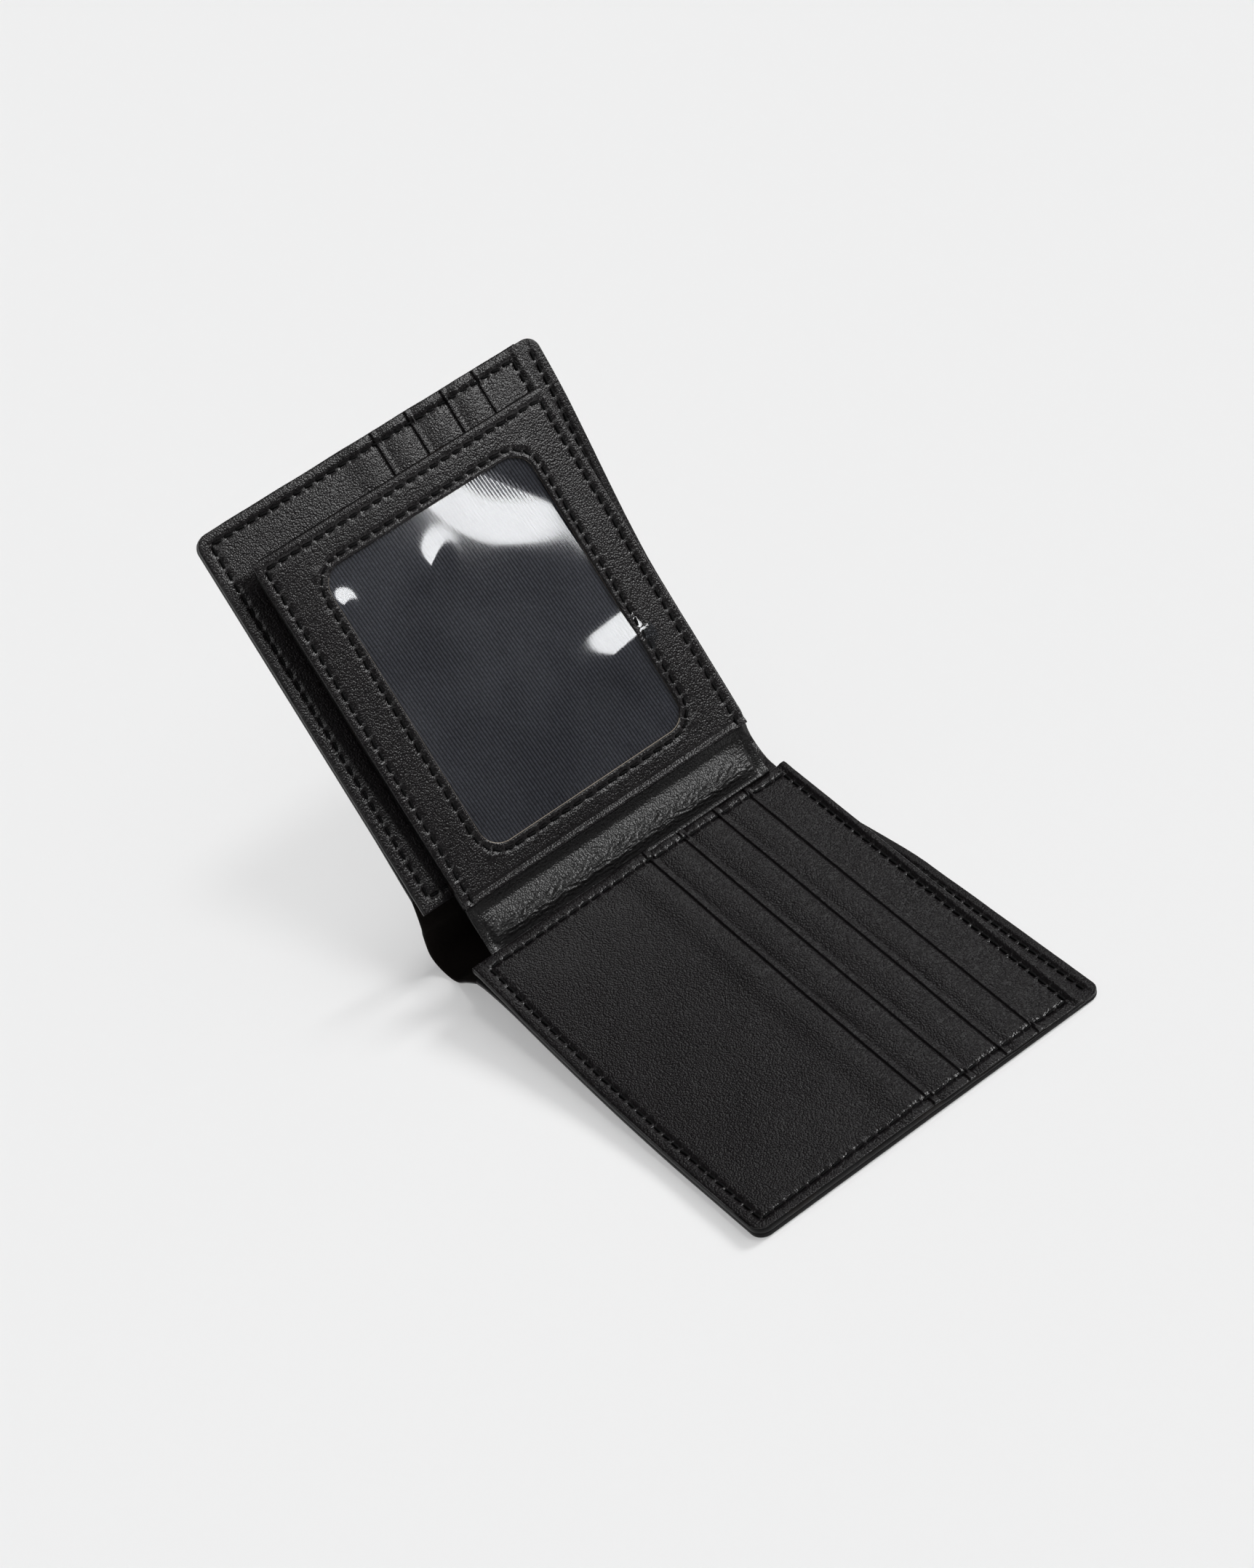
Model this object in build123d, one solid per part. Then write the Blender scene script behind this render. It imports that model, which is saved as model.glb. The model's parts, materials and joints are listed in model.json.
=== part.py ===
"""Leather wallet that folds once, with a clear-window ID flap between its halves.

Each leaf is drawn flat in its own frame: u runs from the hinge line out to the free edge, v runs along
the spine, and w runs up from the leaf's inner face. The leaves are then turned about the hinge line to
the half-open pose, and the whole wallet is tilted until it stands on its spine and its right free edge.
All lengths are in millimetres and all angles in degrees.
"""
from build123d import *
from math import atan2, cos, degrees, hypot, sin, sqrt, radians
import os

os.makedirs("parts", exist_ok=True)

# ---- leaf sizes -------------------------------------------------------------------------------------
HALF_HEIGHT = 90.2          # along the spine, both halves
EDGE_MARGIN = 2.7           # cut edge to the seam row beside it
RIGHT_SEAM_WIDTH = 92.0     # spine seam to the far seam of the right half
LEFT_START = 12.0           # hinge line to the near edge of the left inner panel
LEFT_COVER_START = 16.0     # hinge line to the near edge of the left cover
LEFT_REACH = 104.4          # hinge line to the far edge of the left half
CORNER_RADIUS = 3.0         # free corners of every leaf
RIM_WIDTH = 3.5             # turned edge of covers and pockets

# ---- leather, lining and gap thicknesses -------------------------------------------------------------
COVER_LEATHER = 0.9
LINING = 0.15
BILL_GAP = 0.3
PANEL_LEATHER = 0.45
STRIP_LEATHER = 0.3
POCKET_LEATHER = 0.5
HEM_FACING = 0.5

# ---- card slots, from the top of a half down ---------------------------------------------------------
HEM_SHOWN = 5.1             # cover's hem beyond the inner panel's top edge
PANEL_SHOWN = 10.4          # inner panel above the top card slot
SLOTS_SHOWN = (9.3, 9.6, 8.6)    # card-slot strips above the piece in front, nearest first
SLOT_FLOOR = 10.5           # bottom edge up to the lowest card slot's bottom
PANEL_SEAM_INSET = 2.4      # inner panel's top edge to its seam row
HEM_SEAM_INSET = 2.5        # cover's top edge to its seam row

# ---- ID flap -----------------------------------------------------------------------------------------
FLAP_START = 8.3            # hinge line to the flap's folded edge
FLAP_REACH = 93.6           # hinge line to the flap's far edge
FLAP_BOTTOM = 2.7           # above the bottom seam row
FLAP_HEADROOM = 3.3         # flap's top edge below the inner panel's
FLAP_RIM = 3.2              # turned edge on the flap's three free sides
FLAP_SEAM_INSET = 2.1       # flap edge to its seam row
FRAME_LEATHER = 0.7
FILM = 0.3
CARD_GAP = 0.3
FLAP_LINING = 0.25
BOARD = 0.25
BACK_LEATHER = 0.6
FRAME_NEAR = 7.5            # leather beside the window, towards the spine
FRAME_FAR = 9.3
FRAME_LOW = 11.5
FRAME_HIGH = 11.4
WINDOW_RADIUS = 5.0
WINDOW_SEAM_INSET = 1.7     # window edge to the seam row round it
STRIP_THICKNESS = 0.8       # hinge strip, doubled thin leather
STRIP_SHORTER = 1.3         # the hinge strip ends below the flap's top edge

# ---- hinge line, pose and spine ----------------------------------------------------------------------
HINGE_SETBACK = 4.6         # spine seam row back to the hinge line
LEAF_CLEARANCE = 0.5        # between neighbouring leaves when the wallet is shut
SEAT_GAP = 0.3              # between a moving leaf and the piece that it is sewn to
FLAP_ANGLE = 131.9          # of the flap above the right half's inner face
LEFT_ANGLE = 135.0          # of the left half above the right half's inner face
SPINE_DEPTH = 12.5          # below the right half's inner face, where the spine rests
SPINE_REST_X = -14.6        # middle of the strip that the spine rests on
SPINE_STRIP = 5.6           # centre-line length of that strip, before its corners are rounded
SPINE_BACK = 19.95          # seam row back to the rearmost wall of the spine
SPINE_WAIST = 1.0           # below the inner face, where the rear wall turns to the left half
SPINE_INNER_RADIUS = 3.0
SPINE_REAR_RADIUS = 3.6
SPINE_WAIST_RADIUS = 6.0
SPINE_TOP_RADIUS = 2.5
SPINE_LANDING = 2.4         # straight end of the spine cover along the left cover

# ---- stitches ----------------------------------------------------------------------------------------
STITCH_PITCH = 3.0
STITCH_LENGTH = 2.0
STITCH_WIDTH = 0.6
STITCH_PROUD = 0.15

# ---- sizes that follow -------------------------------------------------------------------------------
BOTTOM = -EDGE_MARGIN
TOP = HALF_HEIGHT - EDGE_MARGIN
PANEL_TOP = TOP - HEM_SHOWN
PANEL_ROW = PANEL_TOP - PANEL_SEAM_INSET
HEM_ROW = TOP - HEM_SEAM_INSET
POCKET_TOP = PANEL_TOP - PANEL_SHOWN - sum(SLOTS_SHOWN)
SLOT_TOPS = [POCKET_TOP + sum(SLOTS_SHOWN[: index + 1]) for index in range(len(SLOTS_SHOWN))]
SLOT_DEPTH = SLOT_TOPS[0] - (BOTTOM + SLOT_FLOOR)
FLAP_TOP = PANEL_TOP - FLAP_HEADROOM
STRIP_TOP = FLAP_TOP - STRIP_SHORTER
WINDOW_START = FLAP_START + FRAME_NEAR
WINDOW_END = FLAP_REACH - FRAME_FAR
WINDOW_BOTTOM = FLAP_BOTTOM + FRAME_LOW
WINDOW_TOP = FLAP_TOP - FRAME_HIGH
RIGHT_START = -EDGE_MARGIN
RIGHT_REACH = RIGHT_SEAM_WIDTH + EDGE_MARGIN
PANEL_FACE = -(POCKET_LEATHER + len(SLOTS_SHOWN) * STRIP_LEATHER)
PANEL_BACK = PANEL_FACE - PANEL_LEATHER
COVER_FACE = PANEL_BACK - 2 * LINING - BILL_GAP
COVER_BACK = COVER_FACE - COVER_LEATHER
COVER_MIDDLE = (COVER_FACE + COVER_BACK) / 2
FLAP_THICKNESS = FRAME_LEATHER + FILM + CARD_GAP + FLAP_LINING + BOARD + BACK_LEATHER
HINGE_X = -HINGE_SETBACK
HINGE_Z = FLAP_THICKNESS / 2 + LEAF_CLEARANCE
LEFT_LEVEL = -HINGE_Z                # left half's inner face beside the hinge line
FLAP_LEVEL = FLAP_THICKNESS / 2      # flap's front face beside the hinge line
TILT_SLOPE = (SPINE_DEPTH + COVER_BACK) / (RIGHT_REACH - SPINE_REST_X)
TILT = degrees(atan2(SPINE_DEPTH + COVER_BACK, RIGHT_REACH - SPINE_REST_X))


# ---- drawing helpers ---------------------------------------------------------------------------------
def block(u0, u1, v0, v1, w0, w1):
    """A plain block between two corners."""
    return Pos(u0, v0, w0) * Box(u1 - u0, v1 - v0, w1 - w0, align=(Align.MIN, Align.MIN, Align.MIN))


def round_far_corners(solid, bottom=True, top=True):
    """Round the corners at the leaf's free edge."""
    corners = solid.edges().filter_by(Axis.Z).group_by(Axis.X)[-1].sort_by(Axis.Y)
    chosen = []
    if bottom:
        chosen.append(corners[0])
    if top:
        chosen.append(corners[-1])
    return fillet(chosen, CORNER_RADIUS)


def stitch(u, v, level, along_v):
    """One stitch that lies on a face at the given level."""
    length_u = STITCH_WIDTH if along_v else STITCH_LENGTH
    length_v = STITCH_LENGTH if along_v else STITCH_WIDTH
    return Pos(u, v, level + STITCH_PROUD / 2) * Box(length_u, length_v, STITCH_PROUD)


def places(first, last):
    """Middles of the stitches of one row, evenly spread and about one pitch apart."""
    count = max(2, round((last - first) / STITCH_PITCH))
    step = (last - first) / count
    return [first + step * (index + 0.5) for index in range(count)]


def row_along_u(first, last, v, level):
    return [stitch(u, v, level, along_v=False) for u in places(first, last)]


def row_along_v(first, last, u, level_at):
    """A row across the slots: each stitch lies on the highest face that it reaches."""
    return [stitch(u, v, level_at(v - STITCH_LENGTH / 2), along_v=True) for v in places(first, last)]


def face_level(v):
    """Level of a half's inner face: it steps down at each card slot."""
    level = 0.0
    for index, edge in enumerate([POCKET_TOP] + SLOT_TOPS):
        if v >= edge:
            level = -(POCKET_LEATHER + index * STRIP_LEATHER)
    return level


# ---- one half ----------------------------------------------------------------------------------------
def cover(start, reach):
    """Outer leather, turned up along the bottom and the far edge, where the inner panel is sewn to it."""
    plate = block(start, reach, BOTTOM, TOP, COVER_BACK, COVER_FACE)
    plate += block(start, reach, BOTTOM, BOTTOM + RIM_WIDTH, COVER_FACE, PANEL_BACK)
    plate += block(reach - RIM_WIDTH, reach, BOTTOM, PANEL_TOP, COVER_FACE, PANEL_BACK)
    return round_far_corners(plate)


def lining(start, reach):
    return block(start, reach - RIM_WIDTH, BOTTOM + RIM_WIDTH, PANEL_TOP, COVER_FACE, COVER_FACE + LINING)


def inner_lining(start, reach):
    return block(start, reach - RIM_WIDTH, BOTTOM + RIM_WIDTH, PANEL_ROW, PANEL_BACK - LINING, PANEL_BACK)


def hem_facing(start, reach):
    """Strip folded over the cover's top edge, beyond the inner panel."""
    strip = block(start, reach, PANEL_TOP, TOP, COVER_FACE, COVER_FACE + HEM_FACING)
    return round_far_corners(strip, bottom=False)


def inner_panel(start, reach):
    panel = block(start, reach, BOTTOM, PANEL_TOP, PANEL_BACK, PANEL_FACE)
    return round_far_corners(panel, top=False)


def ears(start, reach, lower_edge, upper_edge, face):
    """Side margins of a slot piece, which reach down to the inner panel where the sides are sewn."""
    near = block(start, start + RIM_WIDTH, lower_edge, upper_edge, PANEL_FACE, face)
    far = block(reach - RIM_WIDTH, reach, lower_edge, upper_edge, PANEL_FACE, face)
    return [near, far]


def slot_strip(start, reach, index):
    """Card-slot strip: a tongue down behind the piece in front, and two sewn side margins."""
    edges = [POCKET_TOP] + SLOT_TOPS
    face = -(POCKET_LEATHER + index * STRIP_LEATHER)
    top = SLOT_TOPS[index]
    strip = block(start + RIM_WIDTH, reach - RIM_WIDTH, top - SLOT_DEPTH, top, face - STRIP_LEATHER, face)
    for ear in ears(start, reach, edges[index], top, face):
        strip += ear
    return strip


def front_pocket(start, reach):
    """Nearest pocket, sewn to the inner panel along both sides and the bottom."""
    pocket = block(start, reach, BOTTOM, POCKET_TOP, -POCKET_LEATHER, 0)
    pocket += block(start, reach, BOTTOM, BOTTOM + RIM_WIDTH, PANEL_FACE, -POCKET_LEATHER)
    for ear in ears(start, reach, BOTTOM, POCKET_TOP, 0):
        pocket += ear
    return round_far_corners(pocket, top=False)


def half(side, start, cover_start, reach, near_row):
    """All pieces of one half, by node name. A near row of stitches is given only where one belongs to it."""
    far_seam = reach - EDGE_MARGIN
    first = 0 if near_row is None else near_row
    edge_rows = row_along_u(first, far_seam, 0, 0) + row_along_v(0, PANEL_ROW, far_seam, face_level)
    if near_row is not None:
        edge_rows += row_along_v(0, PANEL_ROW, near_row, face_level)
    pieces = {
        "cover": cover(cover_start, reach),
        "lining": lining(cover_start, reach),
        "hem_facing": hem_facing(cover_start, reach),
        "inner_lining": inner_lining(start, reach),
        "inner_panel": inner_panel(start, reach),
        "front_pocket": front_pocket(start, reach),
        "edge_stitching": Compound(edge_rows),
        "panel_stitching": Compound(row_along_u(first, far_seam, PANEL_ROW, PANEL_FACE)),
        "hem_stitching": Compound(
            row_along_u(cover_start + EDGE_MARGIN, far_seam, HEM_ROW, COVER_FACE + HEM_FACING)
        ),
    }
    for index, place in enumerate(("low", "middle", "high")):
        pieces["slot_strip_" + place] = slot_strip(start, reach, index)
    return {side + "_" + name: piece for name, piece in pieces.items()}


# ---- ID flap -----------------------------------------------------------------------------------------
FRAME_BACK = -FRAME_LEATHER
LINING_FACE = FRAME_BACK - FILM - CARD_GAP
BOARD_FACE = LINING_FACE - FLAP_LINING
BACK_FACE = BOARD_FACE - BOARD


def flap_inside(face, thickness):
    """A sheet that fills the flap inside its turned edges."""
    return block(FLAP_START, FLAP_REACH - FLAP_RIM, FLAP_BOTTOM + FLAP_RIM, FLAP_TOP - FLAP_RIM,
                 face - thickness, face)


def flap_frame():
    """Front leather with the window opening, turned over along the flap's three free sides."""
    frame = block(FLAP_START, FLAP_REACH, FLAP_BOTTOM, FLAP_TOP, FRAME_BACK, 0)
    frame += block(FLAP_START, FLAP_REACH, FLAP_BOTTOM, FLAP_BOTTOM + FLAP_RIM, BACK_FACE, FRAME_BACK)
    frame += block(FLAP_START, FLAP_REACH, FLAP_TOP - FLAP_RIM, FLAP_TOP, BACK_FACE, FRAME_BACK)
    frame += block(FLAP_REACH - FLAP_RIM, FLAP_REACH, FLAP_BOTTOM, FLAP_TOP, BACK_FACE, FRAME_BACK)
    window = block(WINDOW_START, WINDOW_END, WINDOW_BOTTOM, WINDOW_TOP, FRAME_BACK, 0)
    window = fillet(window.edges().filter_by(Axis.Z), WINDOW_RADIUS)
    return round_far_corners(frame) - window


def flap_back():
    back = block(FLAP_START, FLAP_REACH, FLAP_BOTTOM, FLAP_TOP, -FLAP_THICKNESS, BACK_FACE)
    return round_far_corners(back)


def hinge_strip():
    """Thin strip from the flap to the spine seam. Its tail turns about the hinge line, clear of the seam."""
    seam_distance = hypot(HINGE_SETBACK - EDGE_MARGIN, HINGE_Z) - SEAT_GAP
    tail = sqrt(seam_distance ** 2 - (STRIP_THICKNESS / 2) ** 2)
    bottom = -(FLAP_THICKNESS + STRIP_THICKNESS) / 2
    return block(-tail, FLAP_START, FLAP_BOTTOM, STRIP_TOP, bottom, bottom + STRIP_THICKNESS)


def flap():
    """All pieces of the ID flap, by node name."""
    low = FLAP_BOTTOM + FLAP_SEAM_INSET
    high = FLAP_TOP - FLAP_SEAM_INSET
    far = FLAP_REACH - FLAP_SEAM_INSET
    edge_rows = row_along_u(FLAP_START, far, low, 0) + row_along_u(FLAP_START, far, high, 0)
    edge_rows += row_along_v(low, high, far, lambda v: 0)
    window_near = WINDOW_START - WINDOW_SEAM_INSET
    window_far = WINDOW_END + WINDOW_SEAM_INSET
    window_low = WINDOW_BOTTOM - WINDOW_SEAM_INSET
    window_high = WINDOW_TOP + WINDOW_SEAM_INSET
    window_rows = row_along_u(window_near, window_far, window_low, 0)
    window_rows += row_along_u(window_near, window_far, window_high, 0)
    window_rows += row_along_v(window_low, window_high, window_near, lambda v: 0)
    window_rows += row_along_v(window_low, window_high, window_far, lambda v: 0)
    return {
        "flap_frame": flap_frame(),
        "flap_window": flap_inside(FRAME_BACK, FILM),
        "flap_lining": flap_inside(LINING_FACE, FLAP_LINING),
        "flap_stiffener": flap_inside(BOARD_FACE, BOARD),
        "flap_back": flap_back(),
        "flap_hinge_strip": hinge_strip(),
        "flap_stitching": Compound(edge_rows),
        "window_stitching": Compound(window_rows),
    }


# ---- spine -------------------------------------------------------------------------------------------
def left_leaf_point(u, w):
    """Place in the X-Z plane of a point of the left half."""
    angle = radians(LEFT_ANGLE)
    level = LEFT_LEVEL + w
    return (HINGE_X + u * cos(angle) + level * sin(angle), HINGE_Z + u * sin(angle) - level * cos(angle))


def above_rest_line(x, height):
    """A point at a height above the line on which the spine and the right half's far edge rest."""
    return (x, COVER_BACK + (x - RIGHT_REACH) * TILT_SLOPE + height / cos(radians(TILT)))


def spine_cover():
    """Outer leather between the halves: a loose loop that bulges down and back from the right cover."""
    half_leather = COVER_LEATHER / 2
    landing_end = LEFT_COVER_START - SEAT_GAP
    centre_line = FilletPolyline(
        (RIGHT_START, COVER_MIDDLE),
        above_rest_line(SPINE_REST_X + SPINE_STRIP / 2, half_leather),
        above_rest_line(-SPINE_BACK, half_leather),
        (-SPINE_BACK, -SPINE_WAIST),
        left_leaf_point(landing_end - SPINE_LANDING, COVER_MIDDLE),
        left_leaf_point(landing_end, COVER_MIDDLE),
        radius=[SPINE_INNER_RADIUS, SPINE_REAR_RADIUS, SPINE_WAIST_RADIUS, SPINE_TOP_RADIUS],
    )
    section = trace(centre_line, COVER_LEATHER)
    loop = extrude(Plane.XZ.offset(-TOP) * section, amount=HALF_HEIGHT)
    return loop - block(RIGHT_START, RIGHT_REACH, BOTTOM, TOP, 2 * COVER_BACK, 0)


def spine_stitching():
    """Seam that holds the flap's hinge strip along the near edge of the right half."""
    return Compound(row_along_v(0, PANEL_ROW, 0, face_level))


# ---- assembly ----------------------------------------------------------------------------------------
def turned(shape, angle, level):
    """Place a leaf beyond the hinge line, turned up to its angle from the right half."""
    to_hinge = Pos(HINGE_X, 0, HINGE_Z) * Rot(0, 180 - angle, 0)
    return to_hinge * Pos(0, 0, level) * mirror(shape, about=Plane.YZ)


def stood(shape):
    """Tilt the wallet on to its resting line, with the origin in the middle of the spine's rest strip."""
    turn = radians(TILT)
    rest_x = SPINE_REST_X * cos(turn) - SPINE_DEPTH * sin(turn)
    rest_z = -SPINE_REST_X * sin(turn) - SPINE_DEPTH * cos(turn)
    return Pos(-rest_x, -(BOTTOM + TOP) / 2, -rest_z) * Rot(0, TILT, 0) * shape


nodes = half("right", RIGHT_START, RIGHT_START, RIGHT_REACH, None)
nodes["spine_cover"] = spine_cover()
nodes["spine_stitching"] = spine_stitching()
left_nodes = half("left", LEFT_START, LEFT_COVER_START, LEFT_REACH, LEFT_START + EDGE_MARGIN)
for name, shape in left_nodes.items():
    nodes[name] = turned(shape, LEFT_ANGLE, LEFT_LEVEL)
for name, shape in flap().items():
    nodes[name] = turned(shape, FLAP_ANGLE, FLAP_LEVEL)
for name, shape in nodes.items():
    export_step(stood(shape), "parts/" + name + ".step")
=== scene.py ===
"""Looks for the leather wallet: every piece but the flap's stiffener is a mesh made here, round the frame.

Lengths are millimetres in the wallet's own flat frame and become metres in the row frame when a mesh is
made. In the flat frame x runs from the spine seam to the right half's far edge, y runs up the spine from
the bottom seam row, and z rises from the right half's inner face. Each leaf has its own u, v and w: away
from the hinge line, along the spine, and out of the leaf's inner face.
"""
import json
import math
import bpy
import numpy as np
from mathutils import Matrix, Vector


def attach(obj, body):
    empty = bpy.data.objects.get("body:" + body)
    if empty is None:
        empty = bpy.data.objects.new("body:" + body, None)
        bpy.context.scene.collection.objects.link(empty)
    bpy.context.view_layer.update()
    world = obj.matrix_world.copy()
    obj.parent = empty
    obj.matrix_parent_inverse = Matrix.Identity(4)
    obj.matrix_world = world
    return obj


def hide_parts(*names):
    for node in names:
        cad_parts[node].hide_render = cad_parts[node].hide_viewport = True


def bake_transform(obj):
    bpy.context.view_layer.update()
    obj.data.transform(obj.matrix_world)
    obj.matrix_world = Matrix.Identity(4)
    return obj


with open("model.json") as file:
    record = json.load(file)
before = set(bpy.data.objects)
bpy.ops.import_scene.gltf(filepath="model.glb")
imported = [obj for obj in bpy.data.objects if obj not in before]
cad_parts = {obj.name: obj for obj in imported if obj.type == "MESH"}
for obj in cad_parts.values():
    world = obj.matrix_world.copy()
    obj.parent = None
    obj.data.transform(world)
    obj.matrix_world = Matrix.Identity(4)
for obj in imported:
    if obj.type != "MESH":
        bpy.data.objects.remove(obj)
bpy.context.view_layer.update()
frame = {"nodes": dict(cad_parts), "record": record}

MM = 0.001

# ---- sizes of the leaves, as in the frame ----
BOTTOM, TOP = -2.7, 87.5
PANEL_TOP = 82.4
SLOT_EDGES = [44.5, 53.8, 63.4, 72.0]
SEAM_INSET = 2.7
PANEL_ROW, HEM_ROW = 80.0, 85.0
RIGHT_START, RIGHT_REACH = -2.7, 94.7
LEFT_START, LEFT_COVER_START, LEFT_REACH = 12.0, 15.7, 104.4
POCKET, STRIP, PANEL, LINING, GAP, COVER = 0.5, 0.3, 0.45, 0.15, 0.3, 0.9
PANEL_FACE = -(POCKET + 3 * STRIP)
PANEL_BACK = PANEL_FACE - PANEL
COVER_FACE = PANEL_BACK - 2 * LINING - GAP
COVER_BACK = COVER_FACE - COVER
COVER_MIDDLE = COVER_FACE - COVER / 2
CORNER = 3.0
FLAP_START, FLAP_REACH, FLAP_BOTTOM, FLAP_TOP = 8.3, 93.6, 2.7, 79.1
FLAP_THICKNESS = 2.4
WINDOW = (15.8, 84.3, 14.2, 67.7)
WINDOW_RADIUS = 5.0
HINGE_X, HINGE_Z = -4.6, 1.7
FLAP_ANGLE, LEFT_ANGLE = math.radians(131.9), math.radians(135.0)
PITCH = 3.0
MIDDLE = (BOTTOM + TOP) / 2

# ---- from the flat frame to the row frame ----
under = next(m for m in frame["record"]["mounts"] if m["name"] == "right_cover_face")
tilt = math.atan2(-under["axis"][0], -under["axis"][2])
hinge = frame["record"]["behaviour"]["joints"][0]["pos_m"]
slope = math.tan(tilt)


def stood(x, y, z):
    """Row-frame places, in metres, of points of the flat frame."""
    dx, dz = (x - HINGE_X) * MM, (z - HINGE_Z) * MM
    return np.stack([hinge[0] + dx * math.cos(tilt) + dz * math.sin(tilt), (y - MIDDLE) * MM + 0 * dx,
                     hinge[2] - dx * math.sin(tilt) + dz * math.cos(tilt)], -1)


def on_leaf(u, v, w, angle, level):
    """Flat-frame x, y and z of a point of a raised leaf."""
    out = level + w
    x = HINGE_X + u * math.cos(angle) + out * math.sin(angle)
    return x, v, HINGE_Z + u * math.sin(angle) - out * math.cos(angle)


def ramp(t):
    """A smooth step from 0 to 1."""
    t = np.clip(t, 0, 1)
    return t * t * (3 - 2 * t)


def normal(dx, dz):
    """Unit direction across a direction of the flat frame's x and z."""
    length = np.hypot(dx, dz)
    return dz / length, -dx / length


def arch(x, width):
    """A rounded hump between 0 and width."""
    return np.sin(np.pi * np.clip(x / width, 0, 1))


def hump(x, width):
    """A bell-shaped hump about 0."""
    return np.exp(-(x / width) ** 2)


# ---- how the soft leaves hang ----
SAG = 2.9
ROOM_SHARE = 0.985                # share of the floor clearance that the right cover may hang down
BOW_SPAN = 62                     # how far from its far edge the left half's cover reaches its full bow
UPPER, UPPER_SPAN = 60, 27        # the upper part of a leaf, where its cover's edge draws back


def right_sag(u, v):
    """The lying half sags between its two ends, most along its bottom edge."""
    return SAG * arch(u, RIGHT_REACH) * np.clip((66 - v) / 68.7, 0, 1) ** 1.4


def right_room(u):
    return np.clip(RIGHT_REACH - u, 0, None) * slope * ROOM_SHARE


def right_gape(u, v):
    """How far the cover hangs below the flat: its top edge drops to the floor, its bottom edge is sewn."""
    open_share = np.clip((v - BOTTOM) / (TOP - BOTTOM), 0, 1) ** 1.25
    near = 2.2 * np.clip((14 - u) / 16.7, 0, 1) ** 2 * (1 - open_share)
    return np.minimum(right_sag(u, v) + right_room(u) * open_share + near, right_room(u))


def left_bow(u, v):
    """How far the left cover stands back from its inner panel: most along its top edge, near the spine."""
    open_share = np.clip((v - 8) / (TOP - 8), 0, 1) ** 1.4
    return 7.0 * ramp((LEFT_REACH - u) / BOW_SPAN) * open_share + ramp((34 - u) / 20) * (1 - open_share)


def left_shear(u):
    """The left half leans a little in its own plane."""
    return -2.0 * (1 - np.clip(u / LEFT_REACH, 0, 1))


def right_place(u, v, w):
    return stood(u, v, w - right_sag(u, v))


def right_dip(u, v):
    """The cover's top edge draws back from the panel's towards the spine."""
    return 2.2 * ramp((40 - u) / 34) * ramp((v - UPPER) / UPPER_SPAN)


def right_cover_place(u, v, w):
    return stood(u, v - right_dip(u, v), w - right_gape(u, v))


def left_place(u, v, w):
    return stood(*on_leaf(u, v + left_shear(u), w, LEFT_ANGLE, -HINGE_Z))


def left_cover_place(u, v, w):
    dip = 1.6 * ramp((LEFT_REACH - u) / BOW_SPAN) * ramp((v - UPPER) / UPPER_SPAN)
    return stood(*on_leaf(u, v + left_shear(u) - dip, w - left_bow(u, v), LEFT_ANGLE, -HINGE_Z))


def flap_crown(v):
    """The flap bows a little between its long sides."""
    return 0.35 - 0.7 * ((v - (FLAP_BOTTOM + FLAP_TOP) / 2) / (FLAP_TOP - FLAP_BOTTOM) * 2) ** 2


def flap_place(u, v, w):
    crown = flap_crown(v) * ramp((u - FLAP_START) / 12)
    return stood(*on_leaf(u, v, w + crown, FLAP_ANGLE, FLAP_THICKNESS / 2))


# ---- the spine's loop of leather ----
# Places along the loop, counted in control points. The lower piece ends at the turn, and the upper piece at
# the landing on the left cover.
SPINE_TURN, SPINE_END = 5.0, 8.0
NEARBY = 0.02                     # step to either side, for the loop's direction at a place


def spine_controls(v):
    """x and z of the spine leather's middle, by control point and v, from the right cover to the left."""
    high = ramp((v - 30) / 60)
    half = COVER / 2 / math.cos(tilt)
    on_floor = lambda x: COVER_BACK + (x - RIGHT_REACH) * slope + half
    z_before, z0 = [COVER_MIDDLE - right_gape(np.full_like(v, RIGHT_START + back), v) for back in (3, 0)]
    points = [
        (RIGHT_START + 3, z_before),
        (RIGHT_START, z0),
        (-7.6, np.maximum(on_floor(-7.6), (z0 + on_floor(-11.6)) / 2 - 0.2)),
        (-11.8, on_floor(-11.8) + 0.12),
        (-15.6, on_floor(-15.6)),
        (-18.7 - 0.6 * high, on_floor(-18.7) + 1.5),
        (-19.9 - 1.3 * high, on_floor(-19.9) + 4.4),
        (-19.7 - 2.4 * high, -2.4),
        (-18.9 - 3.4 * high, 1.3),
    ]
    for u in (LEFT_COVER_START, LEFT_COVER_START + 4.0):
        x, _, z = on_leaf(u, v, COVER_MIDDLE - left_bow(u, v), LEFT_ANGLE, -HINGE_Z)
        points.append((x, z))
    return [np.stack([np.broadcast_to(p[axis], v.shape) for p in points]) for axis in (0, 1)]


def catmull(values, t):
    """A coordinate along the curve through values[1:-1]; t counts control points from values[1]."""
    i = np.clip(np.floor(t).astype(int), 0, len(values) - 4)
    f = t - i
    p0, p1, p2, p3 = [values[i + k, np.arange(len(t))] for k in range(4)]
    squared, cubed = (2 * p0 - 5 * p1 + 4 * p2 - p3) * f ** 2, (3 * p1 - p0 - 3 * p2 + p3) * f ** 3
    return 0.5 * (2 * p1 + (p2 - p0) * f + squared + cubed)


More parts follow.
